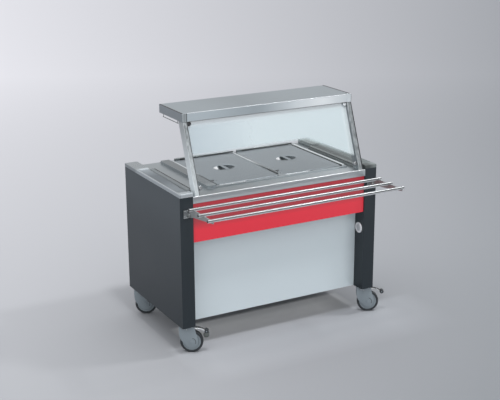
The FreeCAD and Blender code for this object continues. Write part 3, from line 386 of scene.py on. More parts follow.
def start_sheet(name, along):
    """A metal finish with its lines along one axis and its broad clouds."""
    f = Finish(name, Metallic=1.0)
    return f, drawn_lines(f, along), f.noise(f.place(), 5.0, 3)


def streaked(f, lines, clouds, tone, streak):
    """The sheet's colour, a little darker and lighter along its lines and in its clouds."""
    return f.tint(lines * 0.7 + clouds * 0.3, shade(tone, 1 - streak), shade(tone, 1 + streak))


def close_sheet(f, colour, lines, clouds, rough, relief=0.06):
    """Set the colour, a gloss that follows lines and clouds, and the lines as a fine relief."""
    f.set(Base_Color=colour, Roughness=lines * 0.08 + clouds * 0.10 + rough)
    f.bump(lines, relief, 0.0004)
    return f.material


def brushed(name, tone, along, rough=0.34, streak=0.10):
    """Plain brushed sheet, with rare wipe marks."""
    f, lines, clouds = start_sheet(name, along)
    wipes = f.span(f.noise(f.place((3, 9, 9)), 1.6, 5, 0.6), 0.55, 0.75)
    steel = streaked(f, lines, clouds, tone, streak)
    return close_sheet(f, steel, lines, clouds, wipes * 0.03 + (rough - 0.10))


finishes = {
    "stainless": brushed("brushed_worktop_steel", (0.40, 0.43, 0.455), X, 0.36),
    "bead_steel": brushed("rolled_bead_steel", (0.20, 0.215, 0.22), X, 0.34, 0.06),
    # Painted highlights: the two bright edge steels are brighter copies of the steel for edges and beads
    # that catch light.
    "edge_steel": brushed("bright_edge_steel", (0.66, 0.69, 0.71), X, 0.44, 0.05),
    "nosing_steel": brushed("highlight_edge_steel", (0.88, 0.90, 0.91), X, 0.40, 0.08),
    "pressed_stainless": brushed("pressed_pan_steel", (0.5, 0.52, 0.53), Y, 0.3),
    "inner_sheet": brushed("mill_sheet", (0.45, 0.47, 0.48), X, 0.42),
    "lamp_case": brushed("folded_aluminium", (0.6, 0.62, 0.63), X, 0.4),
}
print("brushed finishes:", len(finishes))

# %% [markdown]
# ## Steel with painted light and shade
# The sheets carry painted highlights, painted reflections and painted shade: each zone is a soft mask, a
# band along one or two axes measured from the sheet's own edges, and it mixes a darker or lighter steel
# into the brushed one. Painting the zones by hand would tie them to one mesh; masks follow the piece.

# %% Cap and shelf, with painted light and shade


def cap_sheet(name, tone):
    """Pressed cap with painted shade: on its rear block, in a line inside the rim, on its outer side, and
    in its hollow.
    """
    f, lines, clouds = start_sheet(name, Y)
    y, edge, below = f.at(Y), TOWER_OUTER - f.maths("ABSOLUTE", f.at(X)), CAP_TOP - f.at(Z)
    hollow = f.span(below, 0.0015, 0.0065) * f.span(y, -0.322, -0.300) * f.span(edge, 0.0065, 0.0085)
    # Painted shade: the hollow darkens, most in its middle, and so does the cap's outer side below its top.
    tone_shift = hollow * f.span(y, 0.19, 0.06, 0.45, 0.76) * f.span(y, -0.06, -0.18, 1, 0.76)
    side = f.span(edge, 0.0022, 0.0010) * f.span(below, 0.0012, 0.0030)
    steel = streaked(f, lines, clouds, tone, 0.06)
    # Painted shade on the rear block, and a painted shade line just inside the rim.
    steel = f.tint(f.span(y, 0.19, 0.22) * 0.6, steel, shade(tone, 0.5))
    steel = f.tint(f.band(edge, 0.0015, 0.0035, 0.0050, 0.0070) * 0.55, steel, shade(tone, 0.4))
    steel = f.tint(f.most(tone_shift, side * 0.3), steel, (0.085, 0.100, 0.115))
    return close_sheet(f, steel, lines, clouds, (hollow + side) * 0.3 + 0.20)


def shelf_sheet(name, dull, bright):
    """Shelf with a painted reflection: its front brightens to the right, a darker patch left of the middle,
    painted shade at its left end.
    """
    f, lines, clouds = start_sheet(name, X)
    x, front = f.at(X), f.span(SHELF_TOP - f.at(Z), 0.0005, 0.0030)
    # Painted reflection: the front face brightens towards the right, with a darker patch left of the
    # middle.
    painted_light_zone = f.span(x, -0.05, 0.33) * f.span(x, 0.34, 0.48, 1, 0.5)
    steel = f.tint(front, dull, f.tint(painted_light_zone, shade(dull, 1.25), bright))
    steel = f.tint(f.band(x, -0.38, -0.10, -0.10, 0.16) * 0.5, steel, shade(dull, 0.7))
    # Painted shade on the shelf's left end.
    steel = f.tint(f.span(x + SHELF_END, 0.0025, 0.0005) * front, steel, shade(dull, 0.66))
    steel = f.tint(lines * 0.15 + clouds * 0.05, steel, shade(dull, 0.6))
    return close_sheet(f, steel, lines, clouds, 0.26)


finishes["stainless_y"] = cap_sheet("brushed_cap_steel", (0.55, 0.59, 0.62))
# The near-white second tone is the painted reflection on the shelf's front.
finishes["shelf_steel"] = shelf_sheet("brushed_shelf_steel", (0.405, 0.450, 0.480), (0.95, 0.98, 1.0))
print("finishes so far:", len(finishes))

# %% Deck, lids and dividing strip, with painted light and shade
LID_STEEL = (0.30, 0.33, 0.355)


def deck_sheet(name, tone):
    """Worktop and surround with painted light and shade: lighter at the front right, on the apron and along
    the left edge, darker beside the left lid.
    """
    f, lines, clouds = start_sheet(name, X)
    x, y = f.at(X), f.at(Y)
    past_edge = x - DECK_LEFT
    # Painted shade: a darker strip beside the left lid, in the shade of the roll.
    dull = f.band(past_edge, 0.0003, 0.0017, 0.065, 0.072) * f.span(y, -0.25, -0.20)
    steel = f.tint(dull * 0.9, streaked(f, lines, clouds, tone, 0.10), shade(tone, 0.64))
    # Painted light: lighter at the front right, on the apron's face and along the left edge.
    painted_light_zone = f.span(x, -0.25, 0.45) * f.span(y, -0.20, -0.27)
    apron = f.span(y - FRONT, 0.0028, 0.0010) * 0.85
    strip = f.span(past_edge, 0.0017, 0.0003) * f.band(y, -0.31, -0.24, REAR - 0.0025, REAR - 0.0010)
    steel = f.tint(f.most(f.most(painted_light_zone, strip * 0.12), apron), steel, shade(tone, 1.65))
    return close_sheet(f, steel, lines, clouds, 0.27)


def lid_sheet(name, tone, middle_x):
    """Satin lid with a drawn dish: a painted highlight on the dish's left wall and painted shade over the
    rest of it.
    """
    f, lines, clouds = start_sheet(name, Y)
    x, sunk = f.at(X) - middle_x, f.span(LID_TOP - f.at(Z), 0.0008, 0.0025)
    # Painted highlight on the dish's left wall; painted shade over the rest, lifted at the front of its
    # right half.
    painted_light_zone = f.span(x, -0.004, 0.004) * f.span(f.at(Y), 0.054, 0.024)
    dark, bright = f.span(x, -0.021, -0.013) * sunk, f.span(x, -0.021, -0.028) * sunk
    steel = streaked(f, lines, clouds, tone, 0.05)
    steel = f.tint(dark * (0.96 - painted_light_zone * 0.7), steel, (0.03, 0.034, 0.038))
    steel = f.tint(bright, steel, (0.95, 0.96, 0.97))
    return close_sheet(f, steel, lines, clouds, 0.32 - bright * 0.20, 0.05)


def divider_sheet(name, dark, bright):
    """A rolled strip: a painted highlight over its rear half and painted shade towards the front."""
    f = Finish(name, Metallic=1.0)
    lines = drawn_lines(f, Y, detail=3, rough=0.5)
    # Painted shade in the dark tone towards the front, a painted highlight in the bright tone at the rear.
    painted_shade = f.tint(lines, dark, shade(dark, 1.3))
    f.set(Base_Color=f.tint(f.span(f.at(Y), -0.06, 0.10), painted_shade, bright), Roughness=0.28 + lines * 0.08)
    return f.material


finishes["deck_steel"] = deck_sheet("brushed_deck_steel", (0.33, 0.355, 0.37))
finishes["divider_steel"] = divider_sheet("divider_steel", (0.10, 0.11, 0.115), (0.66, 0.69, 0.71))
for side, x in BAYS.items():
    finishes["lid_" + side] = lid_sheet("satin_%s_lid_steel" % side, LID_STEEL, x)
print("finishes so far:", len(finishes))

# %% Posts and grips, with painted light and shade


def post_sheet(name, tone):
    """Drawn box section: broad bands along it; on the left post a painted reflection, paler lower down, a
    painted highlight on its outer face and a painted shade line near its inner edge; painted light on the
    right post.
    """
    f = Finish(name)
    x, lines = f.at(X), drawn_lines(f, Z)
    bands = f.span(f.noise(f.place((150, 110, 1.2)), 1.0, 2), 0.35, 0.65)
    left, tone_shift, edge = f.span(x, 0.1, -0.1), f.span(f.at(Z), 1.20, 0.93), x + POST_OUTER
    outer = f.span(edge, 0.0015, 0.0005)
    steel = f.tint(bands * 0.8 + lines * 0.2, shade(tone, 0.55), shade(tone, 1.55))
    # Painted reflection on the left post, paler lower down; a painted shade line near its inner edge; a
    # painted highlight, less metallic, on its outer face; and painted light on the right post.
    steel = f.tint(tone_shift * left * 0.6, steel, shade(tone, 2.4))
    steel = f.tint(f.span(edge, 0.0190, 0.0210) * left * 0.8, steel, shade(tone, 0.3))
    steel = f.tint(outer * 0.9, steel, f.tint(tone_shift, shade(tone, 1.2), shade(tone, 2.8)))
    steel = f.tint((1 - left) * 0.12, steel, shade(tone, 2.2))
    f.set(Base_Color=steel, Roughness=lines * 0.10 + 0.26, Metallic=1 - outer * 0.85)
    f.bump(lines, 0.06, 0.0004)
    return f.material


def grained(name, tone, front_share=1.0, painted_shade=0.0):
    """Satin grip: lines along it, a dull sheen, darker towards the front by a given share, and painted
    shade inward on a cap where asked.
    """
    f = Finish(name, Specular_IOR_Level=0.35)
    y, lines, clouds = f.at(Y), drawn_lines(f, Y), f.noise(f.place(), 7.0, 4)
    satin = f.tint(lines * 0.5 + clouds * 0.5, shade(tone, 0.85), shade(tone, 1.12))
    satin = f.tint(f.span(y, 0.20, -0.22), satin, shade(tone, front_share))
    # Painted shade: the inner part of the cap, in front of its rear block, darkens by the share the last
    # argument gives.
    inward = f.span(TOWER_OUTER - f.at(X), 0.016, 0.048) * f.span(y, 0.204, 0.196)
    f.set(Base_Color=f.tint(inward * painted_shade, satin, shade(tone, 0.35)), Roughness=0.44 + lines * 0.10)
    f.bump(lines, 0.08, 0.0003)
    return f.material


finishes.update({
    "post_steel": post_sheet("brushed_post_steel", (0.25, 0.27, 0.28)),
    # Lit and shaded copies of one satin grip: the right cap and the dark roll carry painted shade, the
    # light roll painted light.
    "cap_right": grained("satin_right_cap", (0.155, 0.176, 0.177), painted_shade=1.0),
    "roll_steel": grained("dark_grip_roll", (0.135, 0.147, 0.146)),
    "roll_light": grained("light_grip_roll", (0.175, 0.192, 0.202), front_share=0.85),
})
print("finishes so far:", len(finishes))

# %% [markdown]
# ## Paint and laminate
# The towers are powder coated, which leaves waves like orange peel. The red fascia and the silver panel
# are smooth faced sheets: almost even, with a hint of depth in colour and gloss. Painted light makes the
# towers' sides lighter than their fronts, more so higher up, and painted shade darkens the fascia in the
# band behind the tray's rails.

# %% Paint and laminate


def powder_coat(name, tone):
    """Powder paint: orange-peel waves, a fine grit, faint scuffs low down, and painted light on the sides,
    more higher up.
    """
    f = Finish(name, Specular_IOR_Level=0.3)
    z, peel, grit = f.at(Z), f.noise(f.place(), 260), f.noise(f.place(), 1400)
    clouds = f.noise(f.place(), 2.2, 4)
    scuff = f.span(f.noise(f.place((30, 30, 6)), 1.0, 6, 0.7), 0.62, 0.72) * f.span(z, 0.15, 0.32, 1, 0)
    # Painted light: the tower's sides and rear are lighter than its front, more so higher up.
    painted_side_light = f.span(z, 0.25, TOWER_TOP) * f.span(f.at(Y) - FRONT, 0.0020, 0.0055)
    top = f.span(z, 0.60, TOWER_TOP) * painted_side_light
    tone_shift = tuple(c * 1.7 + 0.01 for c in tone)
    f.set(Base_Color=f.tint(clouds * 0.10 + painted_side_light * 0.60 + top * 0.75 + scuff * 0.35, tone, tone_shift))
    f.set(Roughness=0.42 + (clouds - 0.5) * 0.10 + scuff * 0.15)
    f.bump(peel * 0.6 + grit * 0.4, 0.12, 0.0003)
    return f.material


def start_faced(name, coat_rough):
    """A smooth faced sheet with its clouds, and its fine grain as a relief."""
    f = Finish(name, Specular_IOR_Level=0.45, Coat_Roughness=coat_rough)
    fine = f.noise(f.place(), 420, 3)
    f.bump(fine, 0.05, 0.0002)
    return f, f.noise(f.place(), 3.0, 4), fine


def laminate(name, tone):
    """Faced sheet of one colour under a clear coat."""
    f, clouds, fine = start_faced(name, 0.03)
    f.set(Base_Color=f.tint(clouds * 0.6 + fine * 0.4, shade(tone, 0.93), tone))
    f.set(Coat_Weight=0.8 + clouds * 0.2, Roughness=0.22 + (fine - 0.5) * 0.08)
    return f.material


def fascia_sheet(name, tone, deep):
    """Coloured sheet with painted shade: tinted towards deep in the band behind the tray's rails, and less
    so above them.
    """
    f, clouds, fine = start_faced(name, 0.12)
    z = f.at(Z)
    # Painted shade: the rails and the worktop shade the sheet behind them, strongest between the rails.
    painted_rail_shade = f.span(z, 0.692, 0.742) * f.span(z, 0.806, 0.836, 0.75, 0.22)
    f.set(Base_Color=f.tint(painted_rail_shade + (clouds * 0.04 + fine * 0.03), tone, deep))
    f.set(Coat_Weight=0.15 + clouds * 0.1, Roughness=0.40 + (fine - 0.5) * 0.08)
    return f.material


finishes.update({
    "tower_paint": powder_coat("anthracite_powder_coat", (0.0195, 0.0265, 0.0325)),
    "red_fascia": fascia_sheet("red_laminate", (0.77, 0.026, 0.050), (0.30, 0.036, 0.048)),
    "silver_panel": laminate("silver_laminate", (0.67, 0.75, 0.79)),
})
print("finishes so far:", len(finishes))

# %% [markdown]
# ## Tube, glass, plastics and rubber
# Tubes are drawn and polished, so their lines are finer than those of sheet. The pane is clear below and
# carries a pale sheen above, a painted reflection that a mask in its alpha gives without a second
# sheet. Mouldings get the sparked grain of their mould.

# %% Tube and glass
TUBE_STEEL = (0.36, 0.375, 0.385)


def polished(name, tone, rough, along=X, metal=1.0):
    """Ground and polished metal: bright, with fine drawn lines and soft smears."""
    f = Finish(name, Metallic=metal)
    lines, smear = drawn_lines(f, along, 900, 6, 3, 0.5), f.noise(f.place(), 14, 3)
    f.set(Base_Color=f.tint(lines, shade(tone, 0.94), tone))
    f.set(Roughness=rough + (smear - 0.5) * 0.08 + lines * 0.04)
    f.bump(lines, 0.03, 0.0002)
    return f.material


def rail_tube(name, tone):
    """Drawn tube with a painted reflection: bright, with a dark band just above half height and a pale
    underside.
    """
    f = Finish(name, Metallic=1.0)
    z, lines = f.at(Z) - RAIL_Z, drawn_lines(f, X, 900, 6, 3, 0.5)
    steel = f.tint(lines, shade(tone, 0.94), tone)
    # Painted reflection: a pale underside and a dark band just above half height.
    steel = f.tint(f.span(z, -0.0002, -0.0018), steel, (0.92, 0.93, 0.94))
    steel = f.tint(f.band(z, -0.0014, 0.0002, 0.0044, 0.0060) * 0.75, steel, shade(tone, 0.3))
    f.set(Base_Color=steel, Roughness=0.32 + lines * 0.06)
    f.bump(lines, 0.03, 0.0002)
    return f.material


def clear_pane(name):
    """Toughened glass: clear below; above a line that drops to the right a painted sheen, lighter near the
    right post and under the shelf as painted light.
    """
    f = Finish(name, Specular_IOR_Level=0.22)
    x, z, smear = f.at(X), f.at(Z), f.noise(f.place((2, 2, 6)), 3, 4)
    # Painted reflection: a pale sheen above a line that drops to the right.
    line = f.span(x, -0.485, 0.200, 1.074, 1.078) - f.span(x, 0.200, 0.487, 0, 0.120)
    painted_sheen = f.span(z - line, -0.010, 0.006)
    sheen_tone = f.tint(f.span(x, -0.45, -0.10), (0.41, 0.52, 0.565), (0.60, 0.715, 0.74))
    # Painted light: the sheen is lighter near the right post and under the shelf, where they shade it.
    rim = f.most(f.span(x, 0.452, 0.482), f.span(z, 1.205, 1.234))
    f.set(Base_Color=f.tint(rim, sheen_tone, (0.82, 0.90, 0.92)))
    f.set(Roughness=0.04 + smear * 0.04, Alpha=0.01 + painted_sheen * 0.32 + smear * 0.02)
    return f.material


finishes.update({
    "polished_tube": polished("polished_tube_steel", TUBE_STEEL, 0.35),
    "rail_steel": rail_tube("drawn_rail_steel", TUBE_STEEL),
    "arm_steel": polished("cut_arm_steel", (0.27, 0.285, 0.29), 0.42, Y, 0.5),
    "clamp_metal": polished("turned_clamp_metal", (0.27, 0.28, 0.29), 0.36),
    "brake_metal": polished("zinc_pedal", (0.66, 0.68, 0.69), 0.38),
    "zinc_steel": polished("zinc_plate", (0.62, 0.64, 0.65), 0.42),
    "drain_metal": polished("plated_brass", (0.55, 0.54, 0.5), 0.25),
    "heater_sheath": polished("heater_sheath", (0.2, 0.19, 0.18), 0.4),
    "clear_glass": clear_pane("guard_glass_pane"),
})
print("finishes so far:", len(finishes))

# %% Plastics, rubber and wool


def moulded(name, tone, rough, grain=900):
    """Moulded plastic or rubber: a fine sparked grain and slight mottling."""
    f = Finish(name, Specular_IOR_Level=0.4)
    fine, mottle = f.noise(f.place(), grain), f.noise(f.place(), 18, 3)
    f.set(Base_Color=f.tint(mottle * 0.6 + fine * 0.4, shade(tone, 0.88), tone))
    f.set(Roughness=rough + (fine - 0.5) * 0.15)
    f.bump(fine, 0.15, 0.0003)
    return f.material


def wool_board(name):
    """Pressed mineral wool: strands along the board, in colour and relief."""
    f = Finish(name, Roughness=0.95, Specular_IOR_Level=0.1)
    strands = f.noise(f.place((60, 400, 400)), 1.0, 5)
    f.set(Base_Color=f.tint(strands, (0.35, 0.30, 0.17), (0.62, 0.55, 0.36)))
    f.bump(strands, 0.5, 0.002)
    return f.material


finishes.update({
    "lamp_glass": moulded("quartz_sleeve", (0.75, 0.62, 0.5), 0.15, 200),
    "lamp_lens": moulded("amber_lens", (0.7, 0.2, 0.03), 0.2, 300),
    "black_plastic": moulded("black_plastic", (0.022, 0.022, 0.024), 0.45),
    "lever_plastic": moulded("red_lever_plastic", (0.45, 0.03, 0.03), 0.4),
    "cup_plastic": moulded("cup_plastic", (0.80, 0.81, 0.84), 0.35),
    "cover_plastic": moulded("cover_plastic", (0.56, 0.58, 0.61), 0.30),
    "tyre_rubber": moulded("tyre_rubber", (0.035, 0.04, 0.045), 0.65, 500),
    "pad_rubber": moulded("pad_rubber", (0.10, 0.112, 0.108), 0.55, 500),
    "caster_grey": moulded("caster_grey_plastic", (0.262, 0.305, 0.335), 0.42),
    "mineral_wool": wool_board("mineral_wool"),
})
print("finishes:", len(finishes))

# %% [markdown]
# ## Dress the solids
# Each solid takes the finish of its slot in the record, or one of its own, most of which carry painted
# light and shade. The edges of folded sheet are never knife sharp, so a small bevel is put on as a
# modifier, after the loose triangles are welded.

# %% Finishes by slot, and soft edges
EDGE_RADIUS = {"side_tower": 0.0025, "worktop": 0.0022, "guard_shelf": 0.0022, "front_fascia": 0.0015,
               "front_panel": 0.0006, "guard_posts": 0.0025, "deck_frame": 0.0018, "guard_glass": 0.001,
               "tray_arms": 0.001, "tray_brackets": 0.001, "base_shelf": 0.0008}
OWN_FINISH = {"worktop": "deck_steel", "deck_frame": "deck_steel", "guard_posts": "post_steel",
              "guard_shelf": "shelf_steel", "tray_rails": "rail_steel", "tray_arms": "arm_steel",
              "caster_axle": "caster_grey"}


def soften(item, radius):
    """Weld the loose triangles, then round every edge that turns more than 35 degrees."""
    weld = item.modifiers.new("weld", "WELD")
    weld.merge_threshold = 1e-5
    bevel = item.modifiers.new("edges", "BEVEL")
    bevel.width, bevel.segments = radius, 3
    bevel.limit_method, bevel.angle_limit = "ANGLE", math.radians(35)
    bevel.harden_normals = False


def by_start(table, name, otherwise=None):
    """The entry whose key a name starts with."""
    return next((value for start, value in table.items() if name.startswith(start)), otherwise)


slots = {row["node"]: row["material_slot"] for row in frame["record"]["subparts"]}
for name, item in frame["nodes"].items():
    item.data.materials.clear()
    item.data.materials.append(finishes[by_start(OWN_FINISH, name, slots[name])])
    radius = by_start(EDGE_RADIUS, name)
    if radius:
        soften(item, radius)
print("dressed", len(slots), "solids")

# %% [markdown]
# ## Surfaces from arrays
# A pressed, turned or bent piece is one smooth surface: a grid of points in which each row is the same
# outline, moved and scaled. `skin` turns such a grid into a closed mesh with its faces outward, and
# `add` hangs the mesh on a body of the trolley, in place of the plain solid that it stands for.

# %% skin and add
UPWARD = np.array([0, 0, 1.0])


def skin(name, points, smooth=40, loop=False):
    """Mesh of a grid of points [row, column]: columns close round, rows close too if loop, else capped."""
    rows, columns = points.shape[:2]
    grid = np.meshgrid(np.arange(rows if loop else rows - 1), np.arange(columns), indexing="ij")
    i, j = (axis.ravel() for axis in grid)
    at = lambda r, c: (r % rows) * columns + (c % columns)
    quads = np.stack([at(i, j), at(i, j + 1), at(i + 1, j + 1), at(i + 1, j)], 1)
    flat, faces = points.reshape(-1, 3), quads.tolist()
    if not loop:
        faces += [list(range(columns))[::-1], list(range((rows - 1) * columns, rows * columns))]
    mesh = bpy.data.meshes.new(name)
    mesh.from_pydata(flat.tolist(), [], faces)
    a, b, c, d = (flat[quads[:, k]] - flat.mean(0) for k in range(4))
    volume = (np.cross(a, b) * c).sum() + (np.cross(a, c) * d).sum()
    if volume < 0:
        mesh.flip_normals()
    mesh.shade_smooth()
    mesh.set_sharp_from_angle(angle=math.radians(smooth))
    item = bpy.data.objects.new(name, mesh)
    scene.collection.objects.link(item)
    return item


def add(item, body, slot, finish=None, stands_for=()):
    """Hang a finished mesh on a body, with the finish given or else its slot's, and hide the solids that it
    replaces.
    """
    item.data.materials.append(finishes[finish or slot])
    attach(item, body)
    if stands_for:
        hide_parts(*stands_for)


print("skin closes a grid of points, add hangs it on a body")

# %% lathe, sweep and bar


def frame_at(axis):
    """An axis as a unit direction, and two unit directions square to it."""
    axis = np.asarray(axis, float) / np.linalg.norm(axis)
    first = np.cross(axis, (0, 0, 1) if abs(axis[2]) < 0.9 else (1, 0, 0))
    first /= np.linalg.norm(first)
    return axis, first, np.cross(axis, first)


def lathe(name, outline, centre, axis, steps=64, flutes=0, depth=0, **how):
    """Turn rows of (radius, height) about an axis. With flutes, a cosine of the angle draws the radius in,
    as deep as a row's third value says."""
    axis, first, second = frame_at(axis)
    radius, height, *share = (column[:, None] for column in np.asarray(outline, float).T)
    angle = np.linspace(0, 2 * np.pi, steps, endpoint=False)
    if flutes:
        radius = radius * (1 - depth * share[0] * (0.5 - 0.5 * np.cos(flutes * angle)))
    spokes = np.cos(angle)[:, None] * first + np.sin(angle)[:, None] * second
    points = np.asarray(centre) + radius[..., None] * spokes[None] + height[..., None] * axis
    return skin(name, points, **how)


def sweep(name, path, section, upward, **how):
    """Carry a closed section of (sideways, upward) pairs along a path, square to it at every point."""
    path, section = np.asarray(path, float), np.asarray(section, float)
    along = np.gradient(path, axis=0)
    along /= np.linalg.norm(along, axis=1, keepdims=True)
    side = np.cross(along, np.asarray(upward, float))
    side /= np.linalg.norm(side, axis=1, keepdims=True)
    rise = np.cross(side, along)
    points = path[:, None] + section[None, :, :1] * side[:, None] + section[None, :, 1:] * rise[:, None]
    return skin(name, points, **how)


def ring(rx, ry, power=2.0, steps=48):
    """A closed superellipse: power 2 is an ellipse, larger powers square it off."""
    angle = np.linspace(0, 2 * np.pi, steps, endpoint=False)
    bend = lambda v: np.sign(v) * np.abs(v) ** (2 / power)
    return np.stack([rx * bend(np.cos(angle)), ry * bend(np.sin(angle))], 1)


def bar(name, start, stop, rx, rz, power=2.4, steps=36):
    """A straight bar of superellipse section between two points, rounded at both ends."""
    start, stop = np.asarray(start, float), np.asarray(stop, float)
    tip, far = min(rx, rz), np.linalg.norm(stop - start)
    turn = np.linspace(0.08, 1, 7) * np.pi / 2
    reach = np.concatenate([tip * (1 - np.cos(turn)), far - tip * (1 - np.cos(turn[::-1]))])
    swell = np.concatenate([np.sin(turn), np.sin(turn[::-1])])
    along = (stop - start) / far
    side = np.cross(along, (0, 0, 1) if abs(along[2]) < 0.9 else (0, 1, 0))
    side /= np.linalg.norm(side)
    rise = np.cross(side, along)
    section = ring(rx, rz, power, steps)
    points = ((start + reach[:, None] * along)[:, None] + swell[:, None, None]
              * (section[None, :, :1] * side + section[None, :, 1:] * rise))
    return skin(name, points, smooth=60)


def run(axis, start, stop, *others):
    """Both ends of a line along one axis; the others are its places on the other two axes, in order."""
    return [[*others[:axis], place, *others[axis:]] for place in (start, stop)]


def lay(name, ends, half, slot, finish=None, body="cabinet", **how):
    """Add a straight bar: its two ends, the half sizes of its section, its slot and its finish."""
    add(bar(name, *ends, *half, **how), body, slot, finish)


print("surface kit: a ring has", len(ring(1, 1)), "points")

# %% [markdown]
# ## Casters
# The tyre is moulded rubber with a round shoulder, so its section is a squared ellipse turned about the
# axle. The wheel is a grey moulded disc with a shallow dish. Each caster is drawn once, in its own frame
# with the trail along x, and laid four times at the place and heading of the solids.

# %% Tyres and wheels
CORNERS = {"front_left": (-1, -1), "front_right": (1, -1), "rear_left": (-1, 1), "rear_right": (1, 1)}
CASTER_X, CASTER_Y, HEADING, TRAIL = 0.5725, 0.303, math.radians(-29), 0.036
WHEEL_RADIUS, WHEEL_HALF = middle_of("caster_tyre_front_left", Z), 0.015
RIM_RADIUS = WHEEL_RADIUS - ends_of("caster_hub_front_left", Z)[0]
along_trail = np.array([math.cos(HEADING), math.sin(HEADING), 0])
along_axle = np.array([-math.sin(HEADING), math.cos(HEADING), 0])


def caster_point(corner, x=0.0, y=0.0, z=0.0):
    """A point given along the trail, along the axle and up, in the trolley's frame."""
    sx, sy = CORNERS[corner]
    return np.array([sx * CASTER_X, sy * CASTER_Y, 0]) + x * along_trail + y * along_axle + z * UPWARD


tyre_half = (WHEEL_RADIUS - RIM_RADIUS) / 2
tyre_section = ring(tyre_half, WHEEL_HALF, 3.4, 40) + (RIM_RADIUS + tyre_half, 0)
hub_side = np.array([(0.0056, 0.0163), (0.0190, 0.0163), (0.0215, 0.0152), (0.0235, 0.0125),
                     (0.0300, 0.0108), (0.0380, 0.0110), (0.0430, 0.0124), (0.0466, 0.0130),
                     (0.0488, 0.0126), (0.0494, 0.0118)])
hub_section = np.concatenate([hub_side, hub_side[::-1] * (1, -1)])
for corner in CORNERS:
    centre, body = caster_point(corner, TRAIL, 0, WHEEL_RADIUS), "wheel_" + corner
    tyre = lathe("tyre_" + corner, tyre_section, centre, along_axle, 96, loop=True)
    add(tyre, body, "tyre_rubber", stands_for=["caster_tyre_" + corner])
    hub = lathe("wheel_disc_" + corner, hub_section, centre, along_axle, 96, loop=True, smooth=50)
    add(hub, body, "caster_grey", stands_for=["caster_hub_" + corner])
print("tyres and wheels:", 2 * len(CORNERS), "radius", WHEEL_RADIUS)

# %% [markdown]
# The fork's cheeks are pressed plates: a rounded outline, broad over the crown and round at the axle,
# given a thickness and a small edge radius. `plate` lays the outline six times, drawn in a little on
# the two faces, so the edge catches the light as a pressed edge does. A short dark arc round the axle on
# the outer cheek is painted shade along the shaded edge of the axle's cover.

# %% Plates


def plate(name, outline, origin, axes, thickness, edge, **how):
    """A flat piece: an outline of (x, y) pairs, a thickness along the third axis, and softened edges."""
    outline, half = np.asarray(outline, float), thickness / 2
    inward = outline.mean(0) - outline
    inward /= np.linalg.norm(inward, axis=1, keepdims=True)
    draw, drop = np.array([1, 0.3, 0, 0, 0.3, 1]), np.array([0, 0.3, 1, 1, 0.3, 0])
    flat = outline + inward * edge * draw[:, None, None]
    lift = (half - edge * drop) * (-1, -1, -1, 1, 1, 1)
    axis_x, axis_y, axis_n = (np.asarray(axis, float) for axis in axes)
    layers = np.asarray(origin) + flat[..., :1] * axis_x + flat[..., 1:] * axis_y
    return skin(name, layers + lift[:, None, None] * axis_n, **how)


def smooth_loop(corners, steps=96):
    """A closed curve through corner points, rounded by a periodic quadratic B-spline."""
    corners = np.asarray(corners, float)
    share = np.linspace(0, len(corners), steps, endpoint=False)
    index = share.astype(int)
    u = (share - index)[:, None]
    a, b, c = (corners[(index + k) % len(corners)] for k in (-1, 0, 1))
    return 0.5 * (1 - u) ** 2 * a + (0.5 + u - u * u) * b + 0.5 * u * u * c


print("plates: a smooth loop has", len(smooth_loop(np.eye(3))), "points")

# %% Forks
CHEEK_MIDDLE, CHEEK_THICKNESS, CHEEK_EDGE = 0.019, 0.004, 0.0012
SHADE_ARC_RADIUS, SHADE_ARC_FROM, SHADE_ARC_TO = 0.0225, 78, -28
caster_axes = (along_trail, UPWARD, along_axle)
cheek_outline = smooth_loop([(-0.030, 0.158), (0.000, 0.158), (0.036, 0.158), (0.054, 0.146),
                             (0.058, 0.116), (0.071, 0.084), (0.070, 0.046), (0.046, 0.026),
                             (0.016, 0.032), (-0.006, 0.056), (-0.026, 0.080), (-0.031, 0.110),
                             (-0.031, 0.140)])
crown_outline = [(0.0073, 0.1425), (0.0240, 0.1425), (0.0280, 0.1435), (0.0292, 0.1470), (0.0280, 0.1510),
                 (0.0240, 0.1522), (0.0073, 0.1522)]
shade_turn = np.radians(np.linspace(SHADE_ARC_FROM, SHADE_ARC_TO, 33))[:, None]
shade_arc = SHADE_ARC_RADIUS * (np.cos(shade_turn) * along_trail + np.sin(shade_turn) * UPWARD)
for corner in CORNERS:
    body = "swivel_" + corner
    for name, side in (("near", -1), ("far", 1)):
        origin = caster_point(corner, y=side * CHEEK_MIDDLE)
        cheek = plate("fork_%s_%s" % (name, corner), cheek_outline, origin, caster_axes,
                      CHEEK_THICKNESS, CHEEK_EDGE, smooth=60)
        add(cheek, body, "caster_grey", stands_for=["caster_fork_" + corner] if side < 0 else ())
    # Painted shade: a dark arc round the axle on the outer cheek.
    arc = caster_point(corner, TRAIL, -CHEEK_MIDDLE - CHEEK_THICKNESS / 2, WHEEL_RADIUS) + shade_arc
    add(sweep("fork_shade_arc_" + corner, arc, ring(0.0013, 0.0005, 2, 16), along_axle), body, "black_plastic")
    crown = lathe("fork_crown_" + corner, crown_outline, caster_point(corner), UPWARD, loop=True)
    add(crown, body, "caster_grey")
print("forks:", 4 * len(CORNERS), "pieces")

# %% [markdown]
# ## Lids
# Each lid is drawn from one sheet: flat, with an oval dish for the fingers and a turned-down edge. Its
# rings run from the middle of the dish out to the lid's outline and back underneath, so one grid holds
# the whole pressing. A strap bridges the dish as the grip, and a dark bar under the spoon notch is
# painted shade for its hollow.

